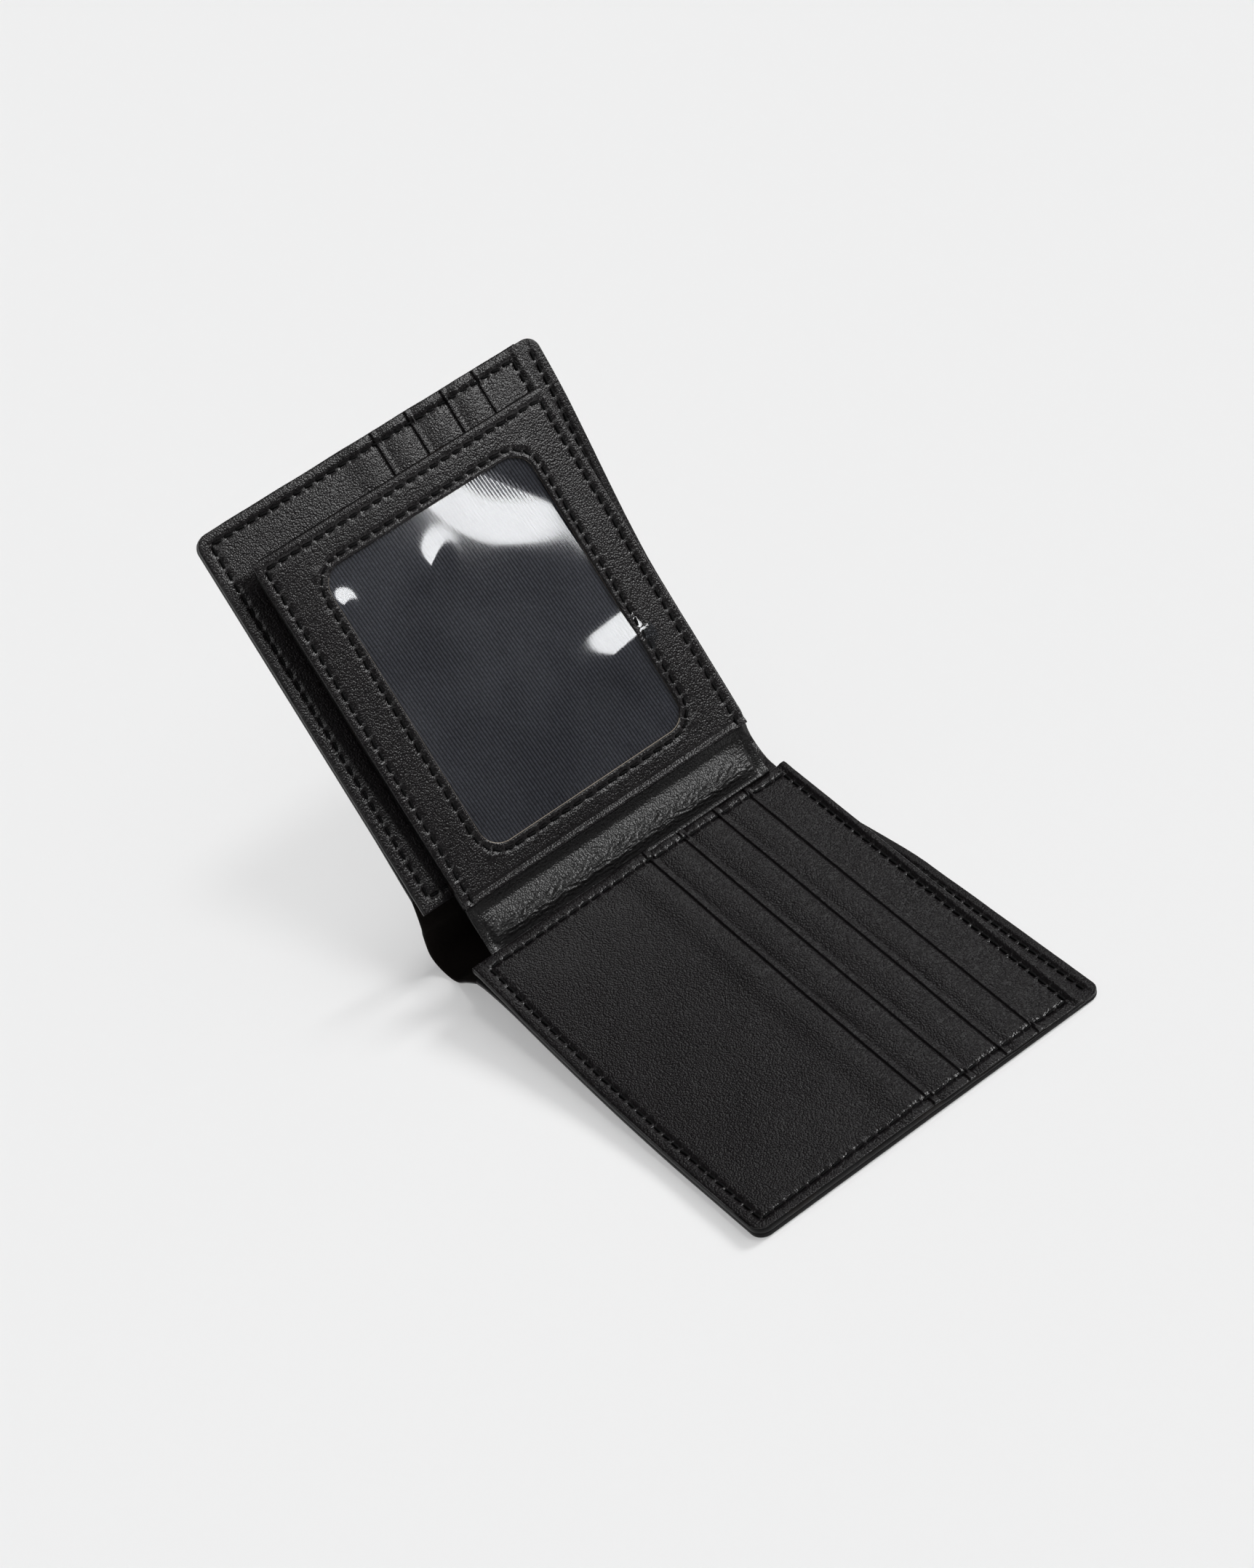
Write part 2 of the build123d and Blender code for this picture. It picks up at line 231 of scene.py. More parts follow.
def spine_place(s, v, w):
    """s counts control points along the loop; w is measured from the leather's middle, inwards."""
    shape = s.shape
    s, v, w = s.ravel(), v.ravel(), np.broadcast_to(w, shape).ravel()
    controls = spine_controls(v)
    (x, z), (x1, z1), (x0, z0) = [[catmull(values, np.clip(s + step, 0, SPINE_END)) for values in controls]
                                  for step in (0, NEARBY, -NEARBY)]
    nx, nz = normal(x1 - x0, z1 - z0)
    shift = left_shear(np.full_like(s, LEFT_COVER_START)) * ramp(s / SPINE_END)
    dip = (2.2 - 1.9 * ramp((s - 1.2) / 3.4) + 1.3 * ramp((s - 5.8) / 2.2)) * ramp((v - UPPER) / UPPER_SPAN)
    return stood(x + nx * w, v + shift - dip, z + nz * w).reshape(shape + (3,))


# ---- mesh building ----
CROWDED = 0.03                    # grid lines nearer to each other than this become one
BEYOND = 1e3                      # farther than any border
CORNER_STEPS = 7


def lines(start, end, step, fine=()):
    """Grid lines from start to end, with extra lines in the fine zones (from, to, step)."""
    marks = list(np.linspace(start, end, max(2, int(round((end - start) / step)) + 1)))
    for a, b, s in fine:
        a, b = max(a, start), min(b, end)
        if b <= a:
            continue
        marks = [m for m in marks if not (a - s / 2 < m < b + s / 2)]
        marks += list(np.linspace(a, b, int(round((b - a) / s)) + 1))
    marks = sorted(set(np.round(marks + [start, end], 4)))
    kept = [marks[0]]
    for m in marks[1:]:
        if m - kept[-1] > CROWDED:
            kept.append(m)
    kept[-1] = end
    return np.array(kept)


def seam_zone(row, before=1.2, after=1.2, step=0.3):
    """A fine zone round a seam row."""
    return row - before, row + after, step


def fold_zones(edge):
    """Fine zones below a folded top edge."""
    return (edge - 6, edge - 3, 0.3), (edge - 2.4, edge, 0.1)


def merged(values, extra):
    """values with the extra grid lines put in, and lines that crowd an extra line left out."""
    extra = sorted(set(np.round(extra, 4)))
    kept = [m for m in values if min(abs(m - e) for e in extra) > 0.04]
    out = sorted(kept + extra)
    return np.array([m for i, m in enumerate(out) if i == 0 or m - out[i - 1] > 1e-3])


def outside(box, U, V):
    """Distance out of a box (from u, to u, from v, to v), less than 0 inside it."""
    return np.maximum.reduce([box[0] - U, U - box[1], box[2] - V, V - box[3]])


def at(level):
    """A face or back that lies at one level."""
    return lambda U, V: np.full_like(U, level)


def mesh_object(name, verts, faces, materials, material_index=None):
    """A closed smooth-shaded mesh of four-sided faces, turned outwards."""
    mesh = bpy.data.meshes.new(name)
    faces = np.asarray(faces, np.int32)
    mesh.vertices.add(len(verts))
    mesh.vertices.foreach_set("co", np.asarray(verts, np.float32).ravel())
    mesh.loops.add(faces.size)
    mesh.loops.foreach_set("vertex_index", faces.ravel())
    mesh.polygons.add(len(faces))
    mesh.polygons.foreach_set("loop_start", np.arange(len(faces), dtype=np.int32) * faces.shape[1])
    if material_index is not None:
        mesh.polygons.foreach_set("material_index", np.asarray(material_index, np.int32))
    mesh.update(calc_edges=True)
    mesh.validate()
    mesh.polygons.foreach_set("use_smooth", np.ones(len(mesh.polygons), bool))
    for m in materials:
        mesh.materials.append(m)
    fix_winding(mesh)
    return in_scene(name, mesh)


def in_scene(name, data):
    """A new object in the scene."""
    obj = bpy.data.objects.new(name, data)
    bpy.context.scene.collection.objects.link(obj)
    return obj


def fix_winding(mesh):
    """Turns the faces of a closed mesh outwards."""
    co = np.empty(len(mesh.vertices) * 3, np.float32)
    mesh.vertices.foreach_get("co", co)
    co = co.reshape(-1, 3).astype(float)
    co -= co.mean(0)
    mesh.calc_loop_triangles()
    tris = np.empty(len(mesh.loop_triangles) * 3, np.int32)
    mesh.loop_triangles.foreach_get("vertices", tris)
    tris = tris.reshape(-1, 3)
    volume = np.einsum("ij,ij->i", co[tris[:, 0]], np.cross(co[tris[:, 1]], co[tris[:, 2]])).sum()
    if volume < 0:
        mesh.flip_normals()


def finished(obj, body, slot, *nodes):
    """Rides a piece on its body and hides the CAD nodes that it stands for. slot, its finish, is not used."""
    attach(obj, body)
    if nodes:
        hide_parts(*nodes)


def round_corners(U, V, us, vs, corners):
    """The grid's points, drawn in so that each corner is an arc of its radius."""
    U2, V2 = U.copy(), V.copy()
    ends = ((us[0], vs[0], 1, 1), (us[-1], vs[0], -1, 1), (us[-1], vs[-1], -1, -1), (us[0], vs[-1], 1, -1))
    for r, (cu, cv, su, sv) in zip(corners, ends):
        if r:
            a, b = (cu + su * r - U) * su, (cv + sv * r - V) * sv
            inside = (a > 0) & (b > 0)
            k = np.where(inside, np.maximum(a, b) / np.maximum(np.hypot(a, b), 1e-9), 1)
            U2 = np.where(inside, cu + su * r - su * a * k, U2)
            V2 = np.where(inside, cv + sv * r - sv * b * k, V2)
    return U2, V2


def round_hole(U, V, U2, V2, hole, r):
    """The points round a hole, drawn in so that its corners are arcs; the pull fades away from it."""
    fade = 4.5
    h0, h1, h2, h3 = hole
    for cu, cv, su, sv in ((h0, h2, -1, -1), (h1, h2, 1, -1), (h1, h3, 1, 1), (h0, h3, -1, 1)):
        a, b = (U - (cu - su * r)) * su, (V - (cv - sv * r)) * sv
        near = (a > 0) & (b > 0)
        m = np.maximum(a, b)
        k = np.where(near, m / np.maximum(np.hypot(a, b), 1e-9), 1)
        f = np.clip(1 - (m - r) / fade, 0, 1)
        U2 = np.where(near, (cu - su * r) + su * a * (k * f + 1 - f), U2)
        V2 = np.where(near, (cv - sv * r) + sv * b * (k * f + 1 - f), V2)
    return U2, V2


def sheet(name, us, vs, face, back, place, materials, corners=(0, 0, 0, 0), hole=None, hole_radius=0,
          roll=0.2, square=(), trim=None, pale=0):
    """A closed sheet over a grid of u and v, whose levels are given by face and back.

    roll rounds every border except the square ones, "u0" and "u1". corners are radii, from (u0, v0) round by
    (u1, v0). materials are for the face, the back and the border. A fourth is for the hole's border, for a
    painted highlight along the rim, of width pale, by two of its sides, and for the face where v is over
    trim.
    """
    rolled = [roll * (1 - math.cos(a)) for a in np.radians([0, 22, 45, 67, 90])]
    extra_u = [m for o in rolled for m in (us[0] + o, us[-1] - o)]
    extra_v = [m for o in rolled for m in (vs[0] + o, vs[-1] - o)]
    if hole:
        h0, h1, h2, h3 = hole
        extra_u += [m for o in rolled for m in (h0 - o, h1 + o)]
        extra_v += [m for o in rolled for m in (h2 - o, h3 + o)]
    us, vs = merged(us, extra_u), merged(vs, extra_v)
    U, V = np.meshgrid(us, vs, indexing="ij")
    to_border = np.minimum.reduce([V - vs[0], vs[-1] - V, U - us[0] + BEYOND * ("u0" in square),
                                   us[-1] - U + BEYOND * ("u1" in square)])
    U2, V2 = round_corners(U, V, us, vs, corners)
    keep = np.ones((len(us) - 1, len(vs) - 1), bool)
    if hole:
        U2, V2 = round_hole(U, V, U2, V2, hole, hole_radius)
        cu, cv = (us[1:] + us[:-1]) / 2, (vs[1:] + vs[:-1]) / 2
        keep = ~(((cu > h0) & (cu < h1))[:, None] & ((cv > h2) & (cv < h3))[None, :])
        to_hole = outside(hole, U, V)
        to_border = np.where(to_hole > -1e-6, np.minimum(to_border, np.maximum(to_hole, 0)), 0)
    drop = roll - np.sqrt(np.maximum(roll ** 2 - np.clip(roll - to_border, 0, roll) ** 2, 0))
    top, low = face(U2, V2) - drop, back(U2, V2) + drop
    low = np.minimum(low, top - 0.01)
    n = U.size
    verts = np.concatenate([place(U2, V2, top).reshape(-1, 3), place(U2, V2, low).reshape(-1, 3)])
    idx = np.arange(n).reshape(U.shape)
    upper = np.stack([idx[:-1, :-1][keep], idx[1:, :-1][keep], idx[1:, 1:][keep], idx[:-1, 1:][keep]], 1)
    lower = upper[:, ::-1] + n
    edges = np.concatenate([upper[:, [0, 1]], upper[:, [1, 2]], upper[:, [2, 3]], upper[:, [3, 0]]])
    code = edges[:, 0].astype(np.int64) * n + edges[:, 1]
    back_code = edges[:, 1].astype(np.int64) * n + edges[:, 0]
    rim = edges[~np.isin(code, back_code)]
    walls = np.stack([rim[:, 1], rim[:, 0], rim[:, 0] + n, rim[:, 1] + n], 1)
    faces = np.concatenate([upper, lower, walls])
    which = np.concatenate([np.zeros(len(upper)), np.ones(len(lower)), np.full(len(walls), 2)])
    if trim:
        which[:len(upper)][np.broadcast_to(((vs[1:] + vs[:-1]) / 2 > trim)[None, :], keep.shape)[keep]] = 3
    # painted highlight: the face is coloured pale along the hole's rim on two of its sides only, a band of
    # width pale
    if pale:
        hu, hv = cu[:, None] + 0 * cv[None, :], cv[None, :] + 0 * cu[:, None]
        highlight_rim_band = ((h0 - hu > 0) & (h0 - hu < pale) & (hv > h2 - pale) & (hv < h3)
                    | (h2 - hv > 0) & (h2 - hv < pale) & (hu > h0 - pale) & (hu < h1))
        which[:len(upper)][highlight_rim_band[keep]] = 3
    if hole:
        ru, rv = U2.ravel()[rim[:, 0]], V2.ravel()[rim[:, 0]]
        inner = (ru > h0 - 1) & (ru < h1 + 1) & (rv > h2 - 1) & (rv < h3 + 1)
        which[len(upper) + len(lower):][inner] = 3
    used = np.unique(faces)
    remap = np.full(2 * n, -1)
    remap[used] = np.arange(len(used))
    obj = mesh_object(name, verts[used], remap[faces], materials, which)
    wall_u = U2.ravel()[walls[:, :2]]
    ends = np.zeros(len(walls), bool)
    for border, value in (("u0", us[0]), ("u1", us[-1])):
        if border in square:
            ends |= (np.abs(wall_u - value) < 1e-6).all(1)
    smooth = np.ones(len(faces), bool)
    smooth[-len(walls):] = ~ends
    obj.data.polygons.foreach_set("use_smooth", smooth)
    return obj


def corner_path(u, v, first, last):
    """Points round a corner about (u, v), from one angle to another, each with its outward direction."""
    return [(u + CORNER * math.cos(a), v + CORNER * math.sin(a), math.cos(a), math.sin(a))
            for a in np.radians(np.linspace(first, last, CORNER_STEPS))]


def bead(name, path, top, low, place, seed, bulge, sunk, tuck):
    """Edge paint: a rounded, slightly lumpy bead along a path of (u, v, outward u, outward v).

    It spans from top to low, swells out by bulge less sunk, and goes tuck deep into the layers.
    """
    P = np.array(path)
    top, low = np.broadcast_to(top, len(P))[:, None], np.broadcast_to(low, len(P))[:, None]
    lump = np.convolve(np.random.default_rng(seed).standard_normal(len(P) + 8), np.ones(9) / 9, "valid")
    a = np.linspace(0, np.pi, 7)[None, :]
    out = (bulge + 0.06 * lump)[:, None] * np.sin(a) - sunk
    out = np.concatenate([out, np.full((len(P), 2), -tuck)], 1)
    w = np.concatenate([(top + low) / 2 + (top - low) / 2 * np.cos(a), low + 0.1, top - 0.1], 1)
    u, v = P[:, 0, None] + P[:, 2, None] * out, P[:, 1, None] + P[:, 3, None] * out
    n, m = u.shape
    idx = np.arange(n * m).reshape(n, m)
    nxt = np.roll(idx, -1, 1)
    faces = np.stack([idx[:-1], nxt[:-1], nxt[1:], idx[1:]], -1).reshape(-1, 4)
    caps = [(ring[0], ring[i], ring[i + 1], ring[i + 2])
            for ring in (idx[0], idx[-1][::-1]) for i in range(1, m - 2, 2)]
    return mesh_object(name, place(u, v, w).reshape(-1, 3), np.concatenate([faces, np.array(caps)]), [EDGE])


# ---- seam rows: their dimples in the leather and their threads ----
class Row:
    """A straight seam row on a leaf, from one (u, v) to another, with evenly spread stitches."""

    def __init__(self, start, end):
        self.start, self.end = np.array(start, float), np.array(end, float)
        self.length = float(np.hypot(*(self.end - self.start)))
        self.count = max(1, round(self.length / PITCH))
        self.direction = (self.end - self.start) / self.length
        self.step = self.length / self.count

    def dent(self, U, V):
        """Depth of the dimple under each stitch, with the leather puckered up between stitches."""
        width, pucker_width, pucker_height = 0.62, 0.95, 0.09
        dash_depth, pit_depth, row_depth = 0.3, 0.2, 0.04
        along = (U - self.start[0]) * self.direction[0] + (V - self.start[1]) * self.direction[1]
        across = -(U - self.start[0]) * self.direction[1] + (V - self.start[1]) * self.direction[0]
        ends = ramp((along + 0.8) / 0.8) * ramp((self.length - along + 0.8) / 0.8)
        off = np.abs(along / self.step - np.floor(along / self.step) - 0.5)
        dash = 1 - ramp((off - 0.3) / 0.14)
        pit = hump(off - 0.36, 0.07)
        pucker = pucker_height * (1 - dash) * hump(across, pucker_width)
        depth = dash_depth * dash + pit_depth * pit + row_depth
        return ends * (hump(across, width) * depth - pucker)

    def middles(self):
        return [self.start + self.direction * self.step * (i + 0.5) for i in range(self.count)]


def dents(rows, U, V):
    total = np.zeros_like(U)
    for row in rows:
        depth = row.dent(U, V)
        total = np.where(np.abs(depth) > np.abs(total), depth, total)
    return total


def threads(name, rows, level, place):
    """One rounded stitch per step of each row, sinking into its holes at both ends."""
    radius, flatness, reach_share = 0.32, 0.85, 0.41
    rings, sides = 9, 8
    t = np.linspace(-1, 1, rings)
    angles = np.linspace(0, 2 * np.pi, sides, endpoint=False)
    around = [(q, (q + 1) % sides) for q in range(sides)]
    verts, faces = [], []
    rng = np.random.default_rng(len(name) * 7 + len(rows))
    for row in rows:
        d = row.direction
        for mid in row.middles():
            slant = 0.16 + 0.05 * rng.standard_normal()
            along = t * (row.step * reach_share)
            across = slant * t * 0.9 + 0.03 * rng.standard_normal()
            u = mid[0] + d[0] * along - d[1] * across
            v = mid[1] + d[1] * along + d[0] * across
            h = -0.16 - 0.36 * np.abs(t) ** 4 + 0.02 * rng.standard_normal()
            thick = radius * np.sqrt(np.clip(1 - np.abs(t) ** 6, 0.04, 1))
            base = len(verts)
            for k in range(rings):
                for q in angles:
                    off, rise = thick[k] * math.cos(q), thick[k] * math.sin(q) * flatness
                    verts.append((u[k] - d[1] * off, v[k] + d[0] * off, h[k] + rise))
            for k in range(rings - 1):
                low, high = base + k * sides, base + (k + 1) * sides
                faces += [(low + q, low + r, high + r, high + q) for q, r in around]
            for k, order in ((0, 1), (rings - 1, -1)):
                c = [base + k * sides + q for q in range(sides)][::order]
                faces += [(c[0], c[1], c[2], c[3]), (c[0], c[3], c[4], c[7]), (c[4], c[5], c[6], c[7])]
    P = np.array(verts)
    return mesh_object(name, place(P[:, 0], P[:, 1], level(P[:, 0], P[:, 1]) + P[:, 2]), faces, [THREAD])


# ---- materials ----
MATH, VECTOR = "ShaderNodeMath", "ShaderNodeVectorMath"


def node(tree, kind, **values):
    n = tree.nodes.new(kind)
    for key, value in values.items():
        if key in n.inputs:
            n.inputs[key].default_value = value
        else:
            setattr(n, key, value)
    return n


def coords(tree):
    """Places on the piece, in metres."""
    found = tree.nodes.get("Texture Coordinate") or tree.nodes.new("ShaderNodeTexCoord")
    return found.outputs["Object"]


def noise(tree, scale, detail, rough=0.5, distortion=0.0, output="Fac"):
    """Noise over the piece; scale is its features per metre."""
    n = node(tree, "ShaderNodeTexNoise", Scale=scale, Detail=detail, Roughness=rough, Distortion=distortion)
    tree.links.new(coords(tree), n.inputs["Vector"])
    return n.outputs[output]


def worked(tree, kind, operation, sockets, output=0):
    """An output of a Math or Vector Math node; sockets maps its inputs to values or to other sockets."""
    n = node(tree, kind, operation=operation)
    for key, value in sockets.items():
        if isinstance(value, bpy.types.NodeSocket):
            tree.links.new(value, n.inputs[key])
        else:
            n.inputs[key].default_value = value
    return n.outputs[output]


def ranged(tree, value, low, high, start, end):
    """value, with low to high turned into start to end."""
    limits = {"From Min": low, "From Max": high, "To Min": start, "To Max": end}
    n = node(tree, "ShaderNodeMapRange", **limits)
    tree.links.new(value, n.inputs["Value"])
    return n.outputs[0]


def mixed(tree, share, dark, light):
    """A colour between two others."""
    n = node(tree, "ShaderNodeMix", data_type="RGBA")
    n.inputs[6].default_value = (*dark, 1)
    n.inputs[7].default_value = (*light, 1)
    tree.links.new(share, n.inputs[0])
    return n.outputs[2]


def scaled(colour, factor):
    return [c * factor for c in colour]


def bumped(tree, height, depth, *shaders, invert=False):
    """Gives the shaders a bump of a depth in mm."""
    bump = node(tree, "ShaderNodeBump", Strength=1.0, Distance=depth * MM, invert=invert)
    tree.links.new(height, bump.inputs["Height"])
    for shader in shaders:
        tree.links.new(bump.outputs[0], shader.inputs["Normal"])


def plain(name, inputs):
    """A Principled material with these values on the shader itself."""
    m = bpy.data.materials.new(name)
    m.use_nodes = True
    for key, value in inputs.items():
        m.node_tree.nodes["Principled BSDF"].inputs[key].default_value = value
    return m


def material(name, base, rough, grain, specular):
    """A Principled material; grain(tree, shader, base) adds its bump and gives its colour."""
    m = plain(name, {"Base Color": (*base, 1), "Roughness": rough, "Specular IOR Level": specular})
    p = m.node_tree.nodes["Principled BSDF"]
    m.node_tree.links.new(grain(m.node_tree, p, base), p.inputs["Base Color"])
    return m


def leather(name, rough, specular, pebble, wrinkle=0.0, base=(0.0082, 0.0064, 0.0072)):
    """Leather with a fine pebbled grain: crumpled cells of about pebble mm, with broad colour drift, and each
    cell's colour painted lighter on its top and darker at its rim, a painted highlight and painted shade.
    """
    depth, push_mm, wear, rough_range = 0.08, 0.12, 0.25, 0.04

    def grain(tree, p, base):
        link = tree.links.new
        warp = noise(tree, 1300.0, 1.0, output="Color")
        push = worked(tree, VECTOR, "SCALE", {0: warp, "Scale": push_mm * MM})
        cells = node(tree, "ShaderNodeTexVoronoi", feature="SMOOTH_F1", Scale=1000.0 / pebble, Smoothness=0.3)
        link(worked(tree, VECTOR, "ADD", {0: coords(tree), 1: push}), cells.inputs["Vector"])
        cell = cells.outputs["Distance"]
        height = worked(tree, MATH, "MULTIPLY_ADD", {0: noise(tree, 2600.0, 3.0, 0.6), 1: 0.2, 2: cell})
        folds = noise(tree, 420.0, 3.0, 0.55, 0.6)
        height = worked(tree, MATH, "MULTIPLY_ADD", {0: folds, 1: -wrinkle * 2, 2: height})
        bumped(tree, height, depth, p, invert=True)
        broad = noise(tree, 45.0, 4.0, 0.6)
        tint = mixed(tree, broad, scaled(base, 1 - wear), scaled(base, 1 + wear))
        # painted highlight and shade: the colour is lighter on each pebble's top and darker towards the
        # crevices round it
        tops = ranged(tree, cell, 0.1, 0.6, 1.3, 0.5)
        link(ranged(tree, broad, 0, 1, rough - rough_range, rough + rough_range), p.inputs["Roughness"])
        return worked(tree, VECTOR, "SCALE", {0: tint, "Scale": tops})
    return material(name, base, rough, grain, specular)


def painted_edge(tree, p, base):
    """Edge paint: smooth, with slight lumps and a brown cast in patches."""
    brown = (0.008, 0.0045, 0.003)
    bumped(tree, noise(tree, 260.0, 3.0), 0.12, p)
    share = ranged(tree, noise(tree, 120.0, 3.0, 0.6), 0.5, 0.75, 0, 1)
    return mixed(tree, share, base, brown)


def fibrous(scale, detail, rough, depth, light):
    """A fibrous surface, whose raised fibres are lighter."""
    def grain(tree, p, base):
        fibres = noise(tree, scale, detail, rough)
        bumped(tree, fibres, depth, p)
        return mixed(tree, fibres, scaled(base, 0.6), scaled(base, light))
    return grain


RIB_PITCH = 0.75
RIB_SKEW = math.tan(math.radians(4))
RIB_LEVEL = -1.3


def rib_phase(U, V):
    return (V + U * RIB_SKEW) / RIB_PITCH


def ribbed(tree, p, base):
    """Ribbed cloth: the valleys between its ribs are painted dark, a painted shade, and the rib tops are
    painted lighter, a painted highlight; the ribs are finely woven.
    """
    # painted shade in the valleys between the ribs, mixed towards a painted highlight of 2.2 times the base
    # on the rib tops
    valley_shade = (0.0012, 0.0012, 0.0015)
    o, by_u, by_v = [flap_place(np.array(u), np.array(v), np.array(RIB_LEVEL))
                     for u, v in ((0.0, 0.0), (1.0, 0.0), (0.0, 1.0))]
    across = ((by_v - o) / MM ** 2 + (by_u - o) / MM ** 2 * RIB_SKEW) / RIB_PITCH * math.pi
    moved = worked(tree, VECTOR, "SUBTRACT", {0: coords(tree), 1: tuple(o)})
    phase = worked(tree, VECTOR, "DOT_PRODUCT", {0: moved, 1: tuple(across)}, "Value")
    size = worked(tree, MATH, "ABSOLUTE", {0: worked(tree, MATH, "COSINE", {0: phase})})
    weave = noise(tree, 2200.0, 3.0, 0.6)
    rib_light_and_shade = worked(tree, MATH, "MULTIPLY", {0: size, 1: weave})
    bumped(tree, weave, 0.05, p)
    return mixed(tree, rib_light_and_shade, valley_shade, scaled(base, 2.2))


def clear_film():
    """Thin clear film: see-through, with a mirror's Fresnel share and faint smudges."""
    m = bpy.data.materials.new("clear_film")
    m.use_nodes = True
    tree = m.node_tree
    tree.nodes.clear()
    out = node(tree, "ShaderNodeOutputMaterial")
    clear = node(tree, "ShaderNodeBsdfTransparent", Color=(0.93, 0.94, 0.96, 1))
    haze = node(tree, "ShaderNodeBsdfDiffuse", Color=(0.6, 0.62, 0.68, 1))
    gloss = node(tree, "ShaderNodeBsdfGlossy", Roughness=0.055, Color=(1, 1, 1, 1))
    fresnel = node(tree, "ShaderNodeFresnel", IOR=1.65)
    bumped(tree, noise(tree, 90.0, 0.0), 0.025, gloss, fresnel)
    smudge = ranged(tree, noise(tree, 38.0, 7.0, 0.62, 0.8), 0.42, 0.8, 0, 0.045)
    dusty, mix = node(tree, "ShaderNodeMixShader"), node(tree, "ShaderNodeMixShader")
    for shader, sources in ((dusty, (smudge, clear.outputs[0], haze.outputs[0])),
                            (mix, (fresnel.outputs[0], dusty.outputs[0], gloss.outputs[0]))):
        for slot, source in zip(shader.inputs, sources):
            tree.links.new(source, slot)
    tree.links.new(mix.outputs[0], out.inputs[0])
    return m


FUZZ = fibrous(scale=1500.0, detail=5.0, rough=0.7, depth=0.15, light=1.5)
TWIST = fibrous(scale=3500.0, detail=2.0, rough=0.5, depth=0.08, light=1.6)
LEATHER = leather("black_leather", rough=0.3, specular=0.45, pebble=0.4)
HEM = leather("hem_leather", rough=0.34, specular=0.45, pebble=0.38)
OUTER = leather("outer_leather", rough=0.36, specular=0.42, pebble=0.44)
CREASED = leather("creased_leather", rough=0.34, specular=0.5, pebble=0.42, wrinkle=0.06,
                  base=(0.0085, 0.0078, 0.008))
EDGE = material("edge_paint", (0.003, 0.0028, 0.003), 0.34, painted_edge, specular=0.1)
RAW = material("raw_leather", (0.007, 0.0052, 0.0045), 0.95, FUZZ, specular=0.1)
CLOTH = material("lining_cloth", (0.012, 0.0115, 0.012), 0.85, FUZZ, specular=0.25)
RIBBED = material("ribbed_cloth", (0.15, 0.15, 0.17), 0.45, ribbed, specular=0.35)
THREAD = material("waxed_thread", (0.0022, 0.0022, 0.0024), 0.7, TWIST, specular=0.12)
# colour of the cut edge, used for the window's cut border and also as a painted highlight along two sides of
# its rim
CUT_EDGE_AND_HIGHLIGHT = material("cut_edge", (0.36, 0.31, 0.25), 0.7, FUZZ, specular=0.3)
BOARD = material("board", (0.1, 0.085, 0.07), 0.9, FUZZ, specular=0.2)
FILM = clear_film()


# ---- the two halves ----
CLEAR = 0.02                      # between a leather layer and the next layer
HAIR = 0.01                       # between cloth and the leather that it lies on
THREAD_DROP = 0.02                # how far an outer seam's threads lie under the leather's level
HEM_BACK = COVER_FACE + 0.5
LINING_RIM = 3.5


def face_level(V):
    """Level of a half's inner face across its slots."""
    level = np.zeros_like(V)
    for i, edge in enumerate(SLOT_EDGES):
        level = np.where(V >= edge, -(POCKET + i * STRIP), level)
    return level


def seam_level(U, V):
    """Level that the threads of a half's outer seam rows lie on."""
    return face_level(V - 0.3) - THREAD_DROP


def folded_top(V, edge, shoulder, reach, pressed, round_band):
    """Height added along a folded top edge: a sloping band, a pressed crease and a soft shoulder below it."""
    width, crease_at = 1.4, 1.78
    below = edge - V
    band = (0.06 + 0.17 * np.clip(below / width, 0, 1)) * (1 - ramp((below - width) / 0.3))
    band = band + round_band * arch(below, 1.5)
    crease = -pressed * hump(below - crease_at, 0.15)
    past = np.clip(below - 1.8, 0, None)
    swell = shoulder * (1 - np.exp(-past / reach)) * (1 - ramp((past - 3) / 6.0))
    return band + crease + swell


def wander(U, V, seed, amount=0.05, size=22.0):
    """A smooth low random swell, the same on every run."""
    rng = np.random.default_rng(seed)
    total = np.zeros_like(U)
    for _ in range(6):
        k = rng.uniform(0.5, 1.6) / size
        a = rng.uniform(0, 2 * np.pi)
        total += np.sin((U * math.cos(a) + V * math.sin(a)) * k * 2 * np.pi + rng.uniform(0, 6.28))
    return amount * total / 3


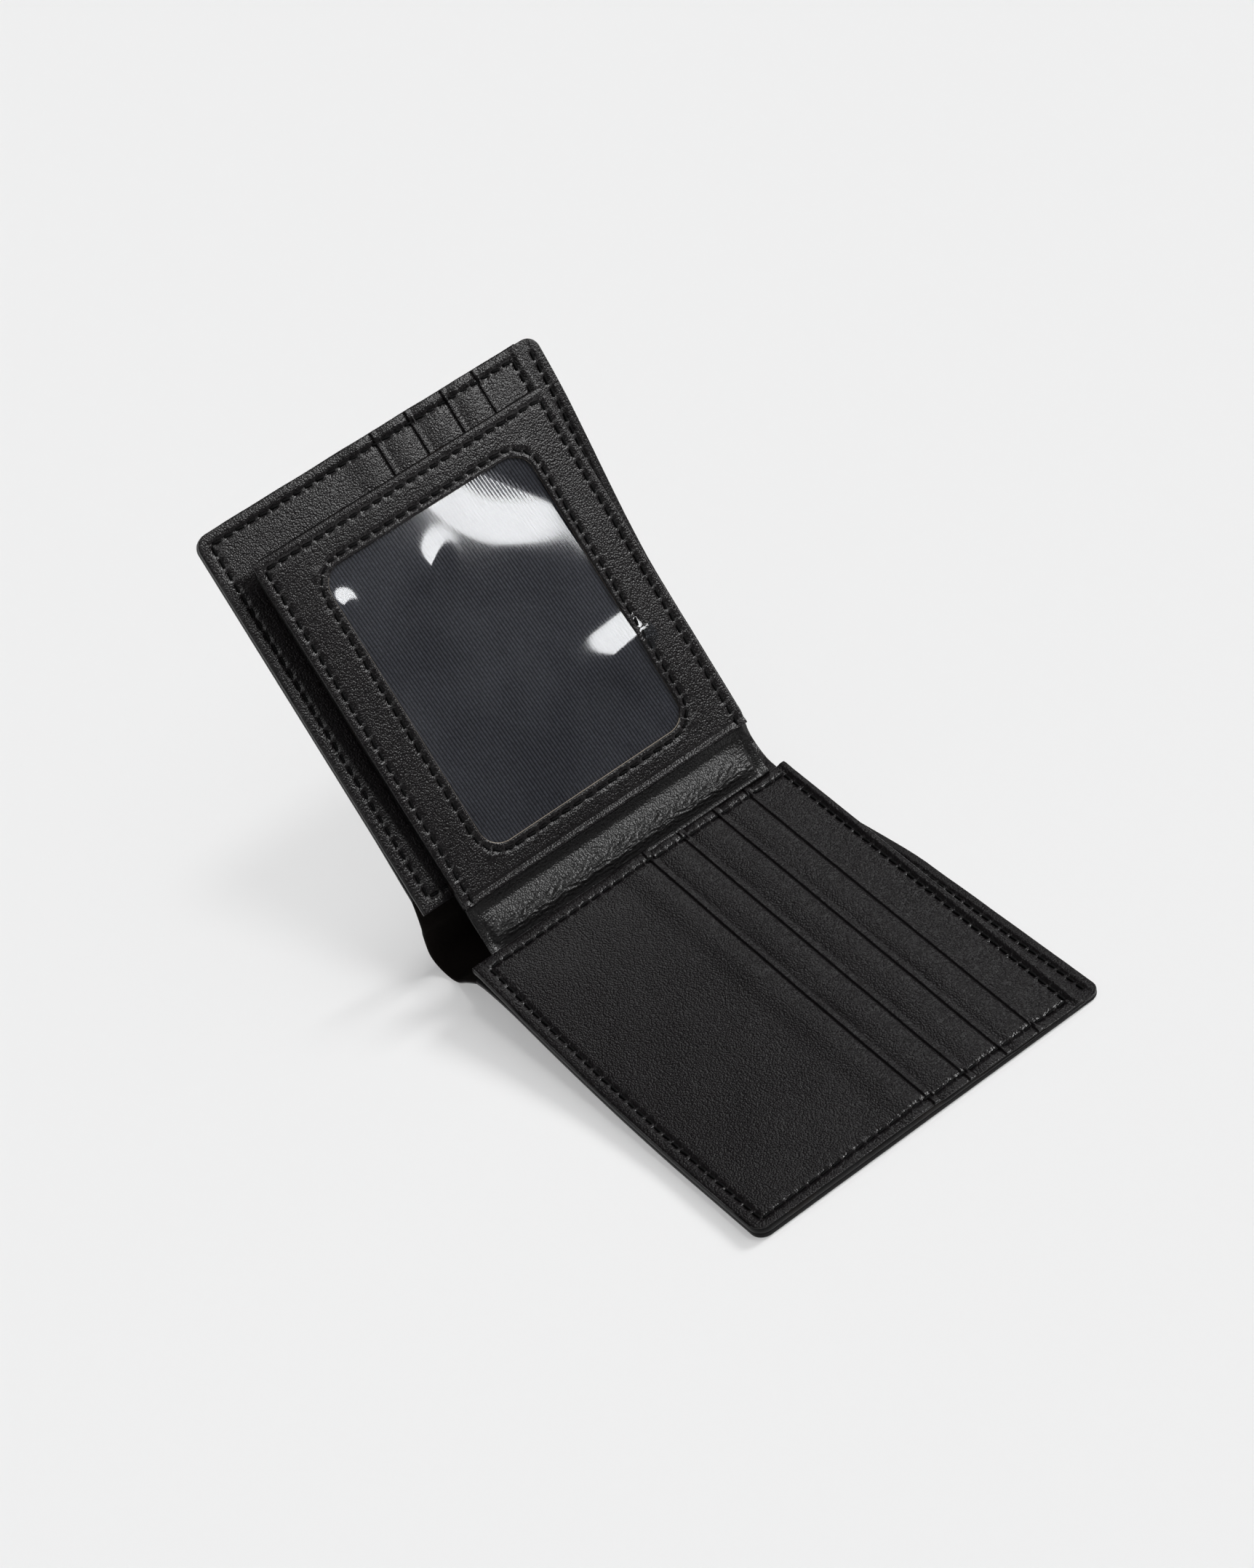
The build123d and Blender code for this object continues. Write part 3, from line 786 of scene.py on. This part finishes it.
class Half:
    """Everything of one half. folded is its folded tops' shoulder, reach, pressed and round_band."""

    def __init__(self, side, start, cover_start, reach, place, cover_place, seed, folded):
        self.side, self.start, self.cover_start, self.reach = side, start, cover_start, reach
        self.place, self.cover_place, self.seed, self.folded = place, cover_place, seed, folded
        self.far, self.near = far, near = reach - SEAM_INSET, start + SEAM_INSET
        self.bottom_row = Row((near, 0), (far, 0))
        self.far_row = Row((far, 0), (far, PANEL_ROW))
        self.near_row = Row((near, 0), (near, PANEL_ROW))
        self.panel_row = Row((near, PANEL_ROW), (far, PANEL_ROW))
        self.hem_row = Row((near, HEM_ROW), (far, HEM_ROW))
        self.sewn = [self.bottom_row, self.far_row, self.near_row]

    def add(self, obj, node_name, slot="black_leather"):
        finished(obj, self.side + "_half", slot, self.side + "_" + node_name)

    def layer(self, node_name, us, vs, face, back, place, materials, **shape):
        """A leather sheet named after its CAD node."""
        name = self.side + "_" + node_name + "_leather"
        self.add(sheet(name, us, vs, face, back, place, materials, **shape), node_name)

    def grid_u(self):
        return lines(self.start, self.reach, 0.5, (seam_zone(self.far), seam_zone(self.near)))

    def hem_puff(self, U, V):
        """Leather between a seam row and the free edge stands up a little."""
        out = U - self.far, -V, self.near - U
        return 0.1 * np.maximum.reduce([arch(d, SEAM_INSET) ** 0.7 for d in out])

    def panel(self, name, vs, face, back, corner=CORNER, roll=0.22):
        """A leather layer of the inner panel, with its lower far corner rounded."""
        self.layer(name, self.grid_u(), vs, face, back, self.place, (LEATHER, CLOTH, LEATHER),
                   corners=(0, corner, 0, 0), roll=roll)

    def front_pocket(self):
        edge = SLOT_EDGES[0]

        def face(U, V):
            return (folded_top(V, edge, *self.folded) + wander(U, V, self.seed) + self.hem_puff(U, V)
                    - dents(self.sewn, U, V))
        vs = lines(BOTTOM, edge, 0.5, (seam_zone(0, step=0.25), *fold_zones(edge)))
        self.panel("front_pocket", vs, face, at(-POCKET + CLEAR))

    def slot_strip(self, index, name):
        edge, lower, hidden = SLOT_EDGES[index + 1], SLOT_EDGES[index], 4.0
        level = -(POCKET + index * STRIP)

        def face(U, V):
            bare = (V > lower)
            return (level + folded_top(V, edge, *self.folded) * 0.9
                    + wander(U, V, self.seed + index) * ramp((V - lower) / 2) + self.hem_puff(U, V) * bare
                    - dents([self.far_row, self.near_row], U, V) - 0.05 * ramp((lower + 1.5 - V) / 1.5))
        vs = lines(lower - hidden, edge, 0.5, (*fold_zones(edge), (lower - 0.2, lower + 1.0, 0.2)))
        self.panel("slot_strip_" + name, vs, face, at(level - STRIP + CLEAR), corner=0, roll=0.13)

    def inner_panel(self):
        edge, lower = PANEL_TOP, SLOT_EDGES[-1]
        rows = [self.far_row, self.near_row, self.panel_row]

        def face(U, V):
            bare = (V > lower)
            turned_over = 0.2 * np.sqrt(np.clip(1 - ((V - PANEL_TOP + 0.8) / 0.8) ** 2, 0, 1))
            hem = 0.12 * ramp((V - PANEL_ROW - 0.2) / 0.6) + turned_over
            return (PANEL_FACE + hem + wander(U, V, self.seed + 9) + self.hem_puff(U, V) * bare
                    - dents(rows, U, V) * bare)
        vs = lines(BOTTOM, edge, 2.0, ((lower - 3, edge, 0.5), (PANEL_ROW - 1.2, edge, 0.2)))
        self.panel("inner_panel", vs, face, at(PANEL_BACK), roll=0.21)

    def lining(self, name, node_name, start, top, face, back, place):
        us = lines(start, self.reach - LINING_RIM, 2.0)
        vs = lines(BOTTOM + LINING_RIM, top, 2.0)
        obj = sheet(self.side + "_" + name, us, vs, at(face), at(back), place, (CLOTH,) * 3, roll=0.06)
        self.add(obj, node_name, "lining_cloth")

    def hem_facing(self):
        def face(U, V):
            puff = 0.12 * ramp((V - HEM_ROW - 0.2) / 0.8)
            return HEM_BACK + puff - dents([self.hem_row], U, V) + wander(U, V, self.seed + 11, size=15)
        vs = lines(PANEL_TOP - 4.5, TOP, 0.75, ((HEM_ROW - 1.2, TOP, 0.2),))
        self.layer("hem_facing", lines(self.start, self.reach, 0.5), vs, face, at(COVER_FACE + HAIR),
                   self.cover_place, (HEM, CLOTH, HEM), corners=(0, 0, CORNER, 0))

    def cover(self):
        """Outer leather, with its turned edge drawn up to the inner panel along the far and bottom edges."""
        start, reach, turned_edge = self.cover_start, self.reach, 3.6

        def face(U, V):
            far_rim = ramp((U - reach + turned_edge) / 0.6) * (1 - ramp((V - PANEL_TOP + 0.5) / 1.0))
            rim = np.maximum(far_rim, ramp((BOTTOM + turned_edge - V) / 0.6))
            return COVER_FACE + rim * (PANEL_BACK - COVER_FACE - CLEAR)
        us = lines(start, reach, 1.0, ((reach - 4.5, reach, 0.4),))
        vs = lines(BOTTOM, TOP, 1.0, ((BOTTOM, BOTTOM + 4.5, 0.4), (TOP - 3, TOP, 0.4)))
        self.layer("cover", us, vs, face, at(COVER_BACK), self.cover_place, (CLOTH, OUTER, EDGE),
                   corners=(0, CORNER, CORNER, 0), roll=0.4, square=("u0",))

    def edge_paint(self):
        """The burnished edge: one bead round the far and bottom edges, as thick as the layers there."""
        reach = self.reach
        path = [(u, BOTTOM, 0, -1) for u in np.arange(self.start, reach - CORNER, 0.75)]
        path += corner_path(reach - CORNER, BOTTOM + CORNER, -90, 0)
        path += [(reach, v, 1, 0) for v in np.arange(BOTTOM + CORNER + 0.5, PANEL_TOP, 0.5)]
        path.append((reach, PANEL_TOP, 1, 0))
        v = np.array(path)[:, 1]
        level = np.zeros(len(path))
        for edge, drop in zip(SLOT_EDGES, (POCKET, STRIP, STRIP, STRIP)):
            level -= drop * ramp((v - edge + 0.6) / 1.2)
        top, low = level - 0.06, PANEL_BACK - 0.05
        obj = bead(self.side + "_edge_paint", path, top, low, self.place, self.seed + 77,
                   bulge=0.26, sunk=0.12, tuck=0.5)
        finished(obj, self.side + "_half", "black_leather")

    def stitching(self, edge_rows):
        for name, node_name, rows, level, place in (
                ("_edge_thread", "edge_stitching", edge_rows, seam_level, self.place),
                ("_panel_thread", "panel_stitching", [self.panel_row], at(PANEL_FACE), self.place),
                ("_hem_thread", "hem_stitching", [self.hem_row], at(HEM_BACK), self.cover_place)):
            self.add(threads(self.side + name, rows, level, place), node_name, "thread")

    def build(self, edge_rows):
        self.front_pocket()
        for index, name in enumerate(("low", "middle", "high")):
            self.slot_strip(index, name)
        self.inner_panel()
        self.lining("inner_lining_cloth", "inner_lining", self.start + 0.2, PANEL_ROW,
                    PANEL_BACK - HAIR, PANEL_BACK - LINING, self.place)
        self.lining("cover_lining_cloth", "lining", self.cover_start, PANEL_TOP,
                    COVER_FACE + LINING, COVER_FACE + HAIR, self.cover_place)
        self.hem_facing()
        self.cover()
        self.edge_paint()
        self.stitching(edge_rows)


right = Half("right", RIGHT_START, RIGHT_START, RIGHT_REACH, right_place, right_cover_place, 5,
             folded=(0.3, 2.4, 0.24, 0))
left = Half("left", LEFT_START, LEFT_COVER_START, LEFT_REACH, left_place, left_cover_place, 31,
            folded=(0.36, 2.8, 0.36, 0.1))
right.build(right.sewn[:2])
left.build(left.sewn)
spine_thread = threads("spine_thread", [right.near_row], seam_level, right_place)
finished(spine_thread, "right_half", "thread", "spine_stitching")


def spine_piece(name, rows, a, b, start, direction, length, *nodes):
    """A part of the loop. a, b, start, direction and length are not used."""
    def rumple(S, V):
        calm = ramp(S / 1.5) * ramp((SPINE_END - S) / 1.5)
        return wander(2 * S, V, 63, amount=0.12, size=11.0) * calm
    face = lambda S, V: COVER / 2 + rumple(S, V)
    back = lambda S, V: -COVER / 2 + rumple(S, V) * 0.6
    vs = lines(BOTTOM, TOP, 1.0, ((BOTTOM, BOTTOM + 2, 0.4), (TOP - 3, TOP, 0.4)))
    obj = sheet(name, rows, vs, face, back, spine_place, (RAW, OUTER, EDGE, HEM), roll=0.4,
                square=("u0", "u1"), trim=PANEL_TOP - 2)
    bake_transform(obj)
    if nodes:
        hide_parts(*nodes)


spine_piece("spine_leather_lower", np.linspace(0, SPINE_TURN, 36), "right_half", "id_flap",
            (RIGHT_START, COVER_MIDDLE), (-1, 0.6), 11.6, "spine_cover")
spine_piece("spine_leather_upper", np.linspace(SPINE_TURN, SPINE_END, 22), "id_flap", "left_half",
            (-20.8, -6.8), (-1, 1), 9.2)


# ---- the ID flap ----
FLAP_SEAM = 2.1
WINDOW_SEAM = 1.7
ARC_ROWS = 4                      # short straight rows that make up each corner of the window's seam
flap_low, flap_high, flap_far = FLAP_BOTTOM + FLAP_SEAM, FLAP_TOP - FLAP_SEAM, FLAP_REACH - FLAP_SEAM - 0.3
flap_rows = [Row((FLAP_START, v), (flap_far, v)) for v in (flap_low, flap_high)]
flap_rows.append(Row((flap_far, flap_low), (flap_far, flap_high)))
w0, w1, w2, w3 = [edge + out * WINDOW_SEAM for edge, out in zip(WINDOW, (-1, 1, -1, 1))]
bend = WINDOW_RADIUS + WINDOW_SEAM
window_rows = [Row((w0 + bend, w2), (w1 - bend, w2)), Row((w0 + bend, w3), (w1 - bend, w3)),
               Row((w0, w2 + bend), (w0, w3 - bend)), Row((w1, w2 + bend), (w1, w3 - bend))]
for cu, cv, first in ((w0 + bend, w2 + bend, 180), (w1 - bend, w2 + bend, 270),
                      (w1 - bend, w3 - bend, 0), (w0 + bend, w3 - bend, 90)):
    around = np.radians(np.linspace(first, first + 90, ARC_ROWS + 1))
    arc = np.stack([cu + bend * np.cos(around), cv + bend * np.sin(around)], 1)
    window_rows += [Row(arc[i], arc[i + 1]) for i in range(ARC_ROWS)]


def flap_rim(U, V):
    """Distance from the flap's three free sides."""
    return np.minimum.reduce([FLAP_REACH - U, V - FLAP_BOTTOM, FLAP_TOP - V])


def flap_frame():
    def face(U, V):
        puff = 0.1 * arch(flap_rim(U, V), FLAP_SEAM) ** 0.7
        from_window = outside(WINDOW, U, V)
        ridge = 0.16 * arch(from_window, WINDOW_SEAM) ** 0.6
        fold = 0.15 * (1 - ramp((U - FLAP_START - 0.7) / 0.5)) - 0.22 * hump(U - FLAP_START - 1.6, 0.3)
        swell = wander(U, V, 51, amount=0.07, size=26)
        return puff + ridge + fold + swell - dents(flap_rows + window_rows, U, V)
    us = lines(FLAP_START, FLAP_REACH, 0.5, ((FLAP_START, FLAP_START + 2.6, 0.2), seam_zone(flap_far),
                                             seam_zone(w0, after=1.7), seam_zone(w1, before=1.7)))
    vs = lines(FLAP_BOTTOM, FLAP_TOP, 0.5, (seam_zone(flap_low), seam_zone(flap_high),
                                            seam_zone(w2, after=1.7), seam_zone(w3, before=1.7)))
    # pale=0.09 paints a highlight 0.09 mm wide along two sides of the window's rim
    obj = sheet("flap_frame_leather", us, vs, face, at(-0.72), flap_place, (LEATHER, CLOTH, EDGE, CUT_EDGE_AND_HIGHLIGHT),
                corners=(0, CORNER, CORNER, 0), hole=WINDOW, hole_radius=WINDOW_RADIUS, roll=0.3, pale=0.09)
    finished(obj, "id_flap", "black_leather", "flap_frame")


def flap_side():
    """Painted edge of the flap, round its three free sides."""
    inset = FLAP_REACH - CORNER
    path = [(u, FLAP_BOTTOM, 0, -1) for u in np.arange(FLAP_START, inset, 0.75)]
    path += corner_path(inset, FLAP_BOTTOM + CORNER, -90, 0)
    path += [(FLAP_REACH, v, 1, 0) for v in np.arange(FLAP_BOTTOM + CORNER + 0.5, FLAP_TOP - CORNER, 0.75)]
    path += corner_path(inset, FLAP_TOP - CORNER, 0, 90)
    path += [(u, FLAP_TOP, 0, 1) for u in np.arange(inset - 0.5, FLAP_START, -0.75)]
    below = 0.12
    obj = bead("flap_edge_paint", path, -below, -FLAP_THICKNESS + below, flap_place, seed=5, bulge=0.3,
               sunk=0.14, tuck=0.6)
    finished(obj, "id_flap", "black_leather")


def flap_back():
    def back(U, V):
        return -FLAP_THICKNESS - 0.08 * arch(flap_rim(U, V), FLAP_SEAM) + dents(flap_rows, U, V) * 0.8
    us, vs = lines(FLAP_START, FLAP_REACH, 1.0), lines(FLAP_BOTTOM, FLAP_TOP, 1.0)
    obj = sheet("flap_back_leather", us, vs, at(-FLAP_THICKNESS + 0.6), back, flap_place,
                (CLOTH, LEATHER, EDGE), corners=(0, CORNER, CORNER, 0), roll=0.25)
    finished(obj, "id_flap", "black_leather", "flap_back")


def flap_inside():
    """Ribbed cloth and clear film, inside the flap's sewn edges."""
    rim, film_thickness = 3.4, 0.05
    u0, u1, v0, v1 = FLAP_START + 1.5, FLAP_REACH - rim, FLAP_BOTTOM + rim, FLAP_TOP - rim
    rib = lambda U, V: 0.34 * np.abs(np.cos(rib_phase(U, V) * np.pi)) ** 0.7
    ribs = lambda U, V: -1.6 + rib(U, V) + wander(U, V, 91, amount=0.01, size=30)
    obj = sheet("ribbed_lining_cloth", lines(u0, u1, 1.5), lines(v0, v1, RIB_PITCH / 8), ribs, at(-1.66),
                flap_place, (RIBBED,) * 3, roll=0.06)
    finished(obj, "id_flap", "ribbed_cloth", "flap_lining")

    def swell(U, V):
        """The film dips along a diagonal towards its far top corner, and buckles in three smaller places."""
        across = (U - 84) * 0.62 + (V - 49.5) * 0.784
        along = (U - 84) * -0.784 + (V - 49.5) * 0.62
        across = across + 0.7 * np.sin(along / 4.6 + 0.6) - 1.5 * ((along - 14) / 14) ** 2
        fold = 0.7 * (0.5 - ramp((across + 7.5) / 15)) + 0.6 * ramp((across - 4.5) / 12)
        ridge = 0.55 * hump(U - 34.8 - 0.1 * (V - 58), 5.6) * ramp((V - 44) / 18)
        turn = (U - 73.5) * 0.622 + (V - 36) * 0.783, (V - 36) * 0.622 - (U - 73.5) * 0.783
        tail = 0.3 * np.exp(-(turn[0] / 4.6) ** 2 - (turn[1] / 3.0) ** 2)
        drop = 0.22 * np.exp(-((U - 76.5) / 3.0) ** 2 - ((V - 14.5) / 3.0) ** 2)
        inside = ramp((U - u0) / 4) * ramp((u1 - U) / 4) * ramp((V - v0) / 4) * ramp((v1 - V) / 4)
        return -0.88 + (fold + ridge + tail + drop - flap_crown(V)) * inside
    obj = sheet("window_film", lines(u0, u1, 0.75), lines(v0, v1, 0.75), swell,
                lambda U, V: swell(U, V) - film_thickness, flap_place, (FILM,) * 3, roll=0.04)
    finished(obj, "id_flap", "clear_film", "flap_window")


STRIP_LENGTH, STRIP_TOP = 13.5, FLAP_TOP - 1.3


def strip_point(u, v):
    """Flat-frame x and z of a point inside the flap, at the strip's level."""
    x, _, z = on_leaf(u, v, -1.05, FLAP_ANGLE, FLAP_THICKNESS / 2)
    return x, z


def bezier(t, a, b, c, d):
    """A coordinate of a cubic curve, and its rate of change."""
    value = (1 - t) ** 3 * a + 3 * (1 - t) ** 2 * t * b + 3 * (1 - t) * t * t * c + t ** 3 * d
    rate = 3 * (1 - t) ** 2 * (b - a) + 6 * (1 - t) * t * (c - b) + 3 * t * t * (d - c)
    return value, rate


def strip_place(S, V, W):
    near, drawn = (-2.0, -0.75), (-4.6, -0.5)
    (ex, ez), (fx, fz) = strip_point(FLAP_START - 2.4, V), strip_point(FLAP_START + 1.2, V)
    x, dx = bezier(S, near[0], drawn[0], ex, fx)
    z, dz = bezier(S, near[1], drawn[1], ez, fz)
    nx, nz = normal(dx, dz)
    return stood(x + nx * W, V, z + nz * W)


def crumple(S, V):
    """A ridge along the strip under a net of long creases, a groove by the flap and a fold by the seam."""
    turn = 2 * np.pi
    along = S * STRIP_LENGTH
    tame = 0.3 + 0.7 * ramp((V - FLAP_BOTTOM) / 8) * ramp((STRIP_TOP - V) / 8)
    crest = hump(S - 0.36, 0.19)
    drift = 0.4 * np.sin(turn * V / 9.3 + 1) + 0.22 * np.sin(turn * V / 4.1 + 4 * S)
    sway = 0.4 * np.sin(turn * V / 7.7 + 4) + 0.2 * np.sin(turn * V / 3.3 + 2)
    first = np.abs(np.sin(np.pi * (along / 1.1 + V / 8.5 + drift)))
    second = np.abs(np.sin(np.pi * (along / 1.4 - V / 6.1 + sway)))
    creases = crest * 0.3 * np.minimum(first, second) ** 0.7
    ridge = 1.25 * hump(S - 0.34, 0.15) * ramp(S / 0.14) * tame
    groove = -0.7 * hump(S - 0.74, 0.12) * tame
    fold = 0.1 * hump(S - 0.075, 0.02) - 0.12 * hump(S - 0.11, 0.015)
    return (creases + fold) * ramp(S / 0.05) + ridge + groove


def hinge_strip():
    """Thin creased strip from under the right half's welt to the flap's folded edge."""
    half_thick, inset, stitches = 0.4, 1.9, 4
    seams = [FLAP_BOTTOM + inset, STRIP_TOP - inset]

    def face(S, V):
        pull = 0.12 + 0.14 * (0.5 + 0.5 * np.cos(S * stitches * 2 * np.pi))
        dent = sum(hump(V - row, 0.45) * pull for row in seams)
        between = ramp((V - seams[0]) / 1.2) * ramp((seams[1] - V) / 1.2)
        return half_thick + crumple(S, V) * between - dent
    obj = sheet("flap_hinge_strip_leather", np.linspace(0, 1, 110), lines(FLAP_BOTTOM, STRIP_TOP, 0.35), face,
                lambda S, V: -half_thick + crumple(S, V), strip_place, (CREASED, CREASED, EDGE), roll=0.02,
                square=("u0", "u1"))
    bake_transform(obj)
    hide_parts("flap_hinge_strip")


flap_frame()
flap_side()
flap_back()
flap_inside()
hinge_strip()
finished(threads("flap_thread", flap_rows, at(0), flap_place), "id_flap", "thread", "flap_stitching")
finished(threads("window_thread", window_rows, at(0), flap_place), "id_flap", "thread", "window_stitching")
stiffener = frame["nodes"]["flap_stiffener"]
stiffener.data.materials.clear()
stiffener.data.materials.append(BOARD)


# ---- camera, floor and light ----
def turned(v):
    """Row-frame direction of a flat-frame direction."""
    x, y, z = v
    return Vector((x * math.cos(tilt) + z * math.sin(tilt), y, -x * math.sin(tilt) + z * math.cos(tilt)))


def towards(azimuth, elevation):
    a, e = math.radians(azimuth), math.radians(elevation)
    return math.cos(e) * math.cos(a), math.cos(e) * math.sin(a), math.sin(e)


camera_data = bpy.data.cameras.new("camera")
camera_data.sensor_width = 36
camera_data.lens = 90.4
camera_data.clip_start = 0.05
camera = in_scene("camera", camera_data)
right_axis, down_axis = turned((0.5992, 0.7841, -0.1615)), turned((0.5033, -0.5259, -0.6856))
forward = turned((-0.6226, 0.3295, -0.7098))
camera_place = Vector(stood(np.array(514.3), np.array(-230.3), np.array(610.7)))
rotation = Matrix((right_axis, -down_axis, -forward)).transposed()
camera.matrix_world = Matrix.Translation(camera_place) @ rotation.to_4x4()
bpy.context.scene.camera = camera

FLOOR_SIZE, FLOOR_DROP = 120, 0.0001
bpy.ops.mesh.primitive_plane_add(size=FLOOR_SIZE, location=(0, 0, -FLOOR_DROP))
floor = bpy.context.object
floor.name = "floor"
pale_floor = {"Base Color": (0.86, 0.86, 0.86, 1), "Roughness": 0.9, "Specular IOR Level": 0.1}
floor.data.materials.append(plain("pale_floor", pale_floor))

# A pale wall round the scene, for low views. Only the camera sees it, so it lights and shades nothing.
WALL_RADIUS, WALL_BOTTOM, WALL_TOP, WALL_SIDES = 6.0, -0.1, 4.0, 96
ring = [towards(360 * i / WALL_SIDES, 0) for i in range(WALL_SIDES)]
wall_data = bpy.data.meshes.new("backdrop")
wall_points = [(x * WALL_RADIUS, y * WALL_RADIUS, z) for z in (WALL_BOTTOM, WALL_TOP) for x, y, _ in ring]
turns = [(i, (i + 1) % WALL_SIDES) for i in range(WALL_SIDES)]
wall_data.from_pydata(wall_points, [], [(i, j, WALL_SIDES + j, WALL_SIDES + i) for i, j in turns])
glow = {"Base Color": (0, 0, 0, 1), "Specular IOR Level": 0, "Emission Color": (0.87, 0.87, 0.87, 1),
        "Emission Strength": 1}
wall_data.materials.append(plain("pale_backdrop", glow))
wall = in_scene("backdrop", wall_data)
wall.visible_diffuse = wall.visible_glossy = wall.visible_shadow = False

world = bpy.data.worlds.new("world")
bpy.context.scene.world = world
world.use_nodes = True
world.node_tree.nodes["Background"].inputs[0].default_value = (0.96, 0.98, 1, 1)
world.node_tree.nodes["Background"].inputs[1].default_value = 0.055

LAMPS_AIM = Vector((0.02, 0, 0.03))


def softbox(name, direction, distance, size, level):
    """A soft light seen in one direction from the wallet.

    size is its width and height in degrees, and level the brightness that it alone would give a white card
    facing it.
    """
    data = bpy.data.lights.new(name, "AREA")
    data.shape = "RECTANGLE"
    data.size, data.size_y = [2 * distance * math.tan(math.radians(a / 2)) for a in size]
    data.energy = level * math.pi * distance ** 2 * math.pi
    obj = in_scene(name, data)
    direction = Vector(direction).normalized()
    obj.location = LAMPS_AIM + direction * distance
    obj.rotation_euler = direction.to_track_quat("Z", "Y").to_euler()
    return obj


def sun(name, direction, angle, level):
    """A distant soft light, with the same measure of its level."""
    data = bpy.data.lights.new(name, "SUN")
    data.angle = math.radians(angle)
    data.energy = level * math.pi
    obj = in_scene(name, data)
    obj.rotation_euler = Vector(direction).to_track_quat("Z", "Y").to_euler()
    return obj


def group(name, objects, state):
    """A collection for light linking."""
    made = bpy.data.collections.new(name)
    for obj in objects:
        made.objects.link(obj)
    for item in made.collection_objects:
        item.light_linking.link_state = state
    return made


KEY, SIDE, OVERHEAD = towards(83, 38), towards(42, 42.5), towards(66, 74)
RAISED = ("left_", "flap_", "window_", "ribbed_")
film = bpy.data.objects["window_film"]
pieces = [o for o in bpy.data.objects if o.type == "MESH" and o not in (floor, wall)]
raised = [o for o in pieces if o.name.startswith(RAISED) and not o.name.startswith("flap_hinge")]
not_floor, not_film = group("not_floor", [floor], "EXCLUDE"), group("not_film", [floor, film], "EXCLUDE")
only_floor, only_film = group("only_floor", [floor], "INCLUDE"), group("only_film", [film], "INCLUDE")
# Each lamp by name, direction, distance in metres, width and height in degrees, and level.
for lamp, receivers in (
        (softbox("key", KEY, 4.0, (18, 15), 0.45), not_floor),
        (softbox("front", towards(-40, 62), 3.5, (30, 30), 0.22), not_floor),
        (softbox("back", towards(137, 51), 2.5, (20, 14), 0.072), not_floor),
        (softbox("side", towards(50, 46.5), 0.9, (24, 8), 0.36), not_film),
        (softbox("side_on_film", SIDE, 0.9, (27, 10.5), 0.2), only_film)):
    lamp.light_linking.receiver_collection = receivers
lying_blocks = group("lying_blocks", raised, "EXCLUDE")
nothing_blocks = group("nothing_blocks", pieces, "EXCLUDE")
# Each sun by name, direction, angle in degrees and level.
for lamp, blockers in (
        (sun("key_on_floor", KEY, 18, 0.4), lying_blocks),
        (sun("side_on_floor", SIDE, 35, 0.15), lying_blocks),
        (sun("overhead_on_floor", OVERHEAD, 13, 0.11), None),
        (sun("fill_on_floor", towards(66, 80), 70, 0.1), None),
        (sun("base_on_floor", OVERHEAD, 60, 0.42), nothing_blocks)):
    lamp.light_linking.receiver_collection = only_floor
    lamp.light_linking.blocker_collection = blockers
bpy.context.scene.view_settings.view_transform = "Standard"
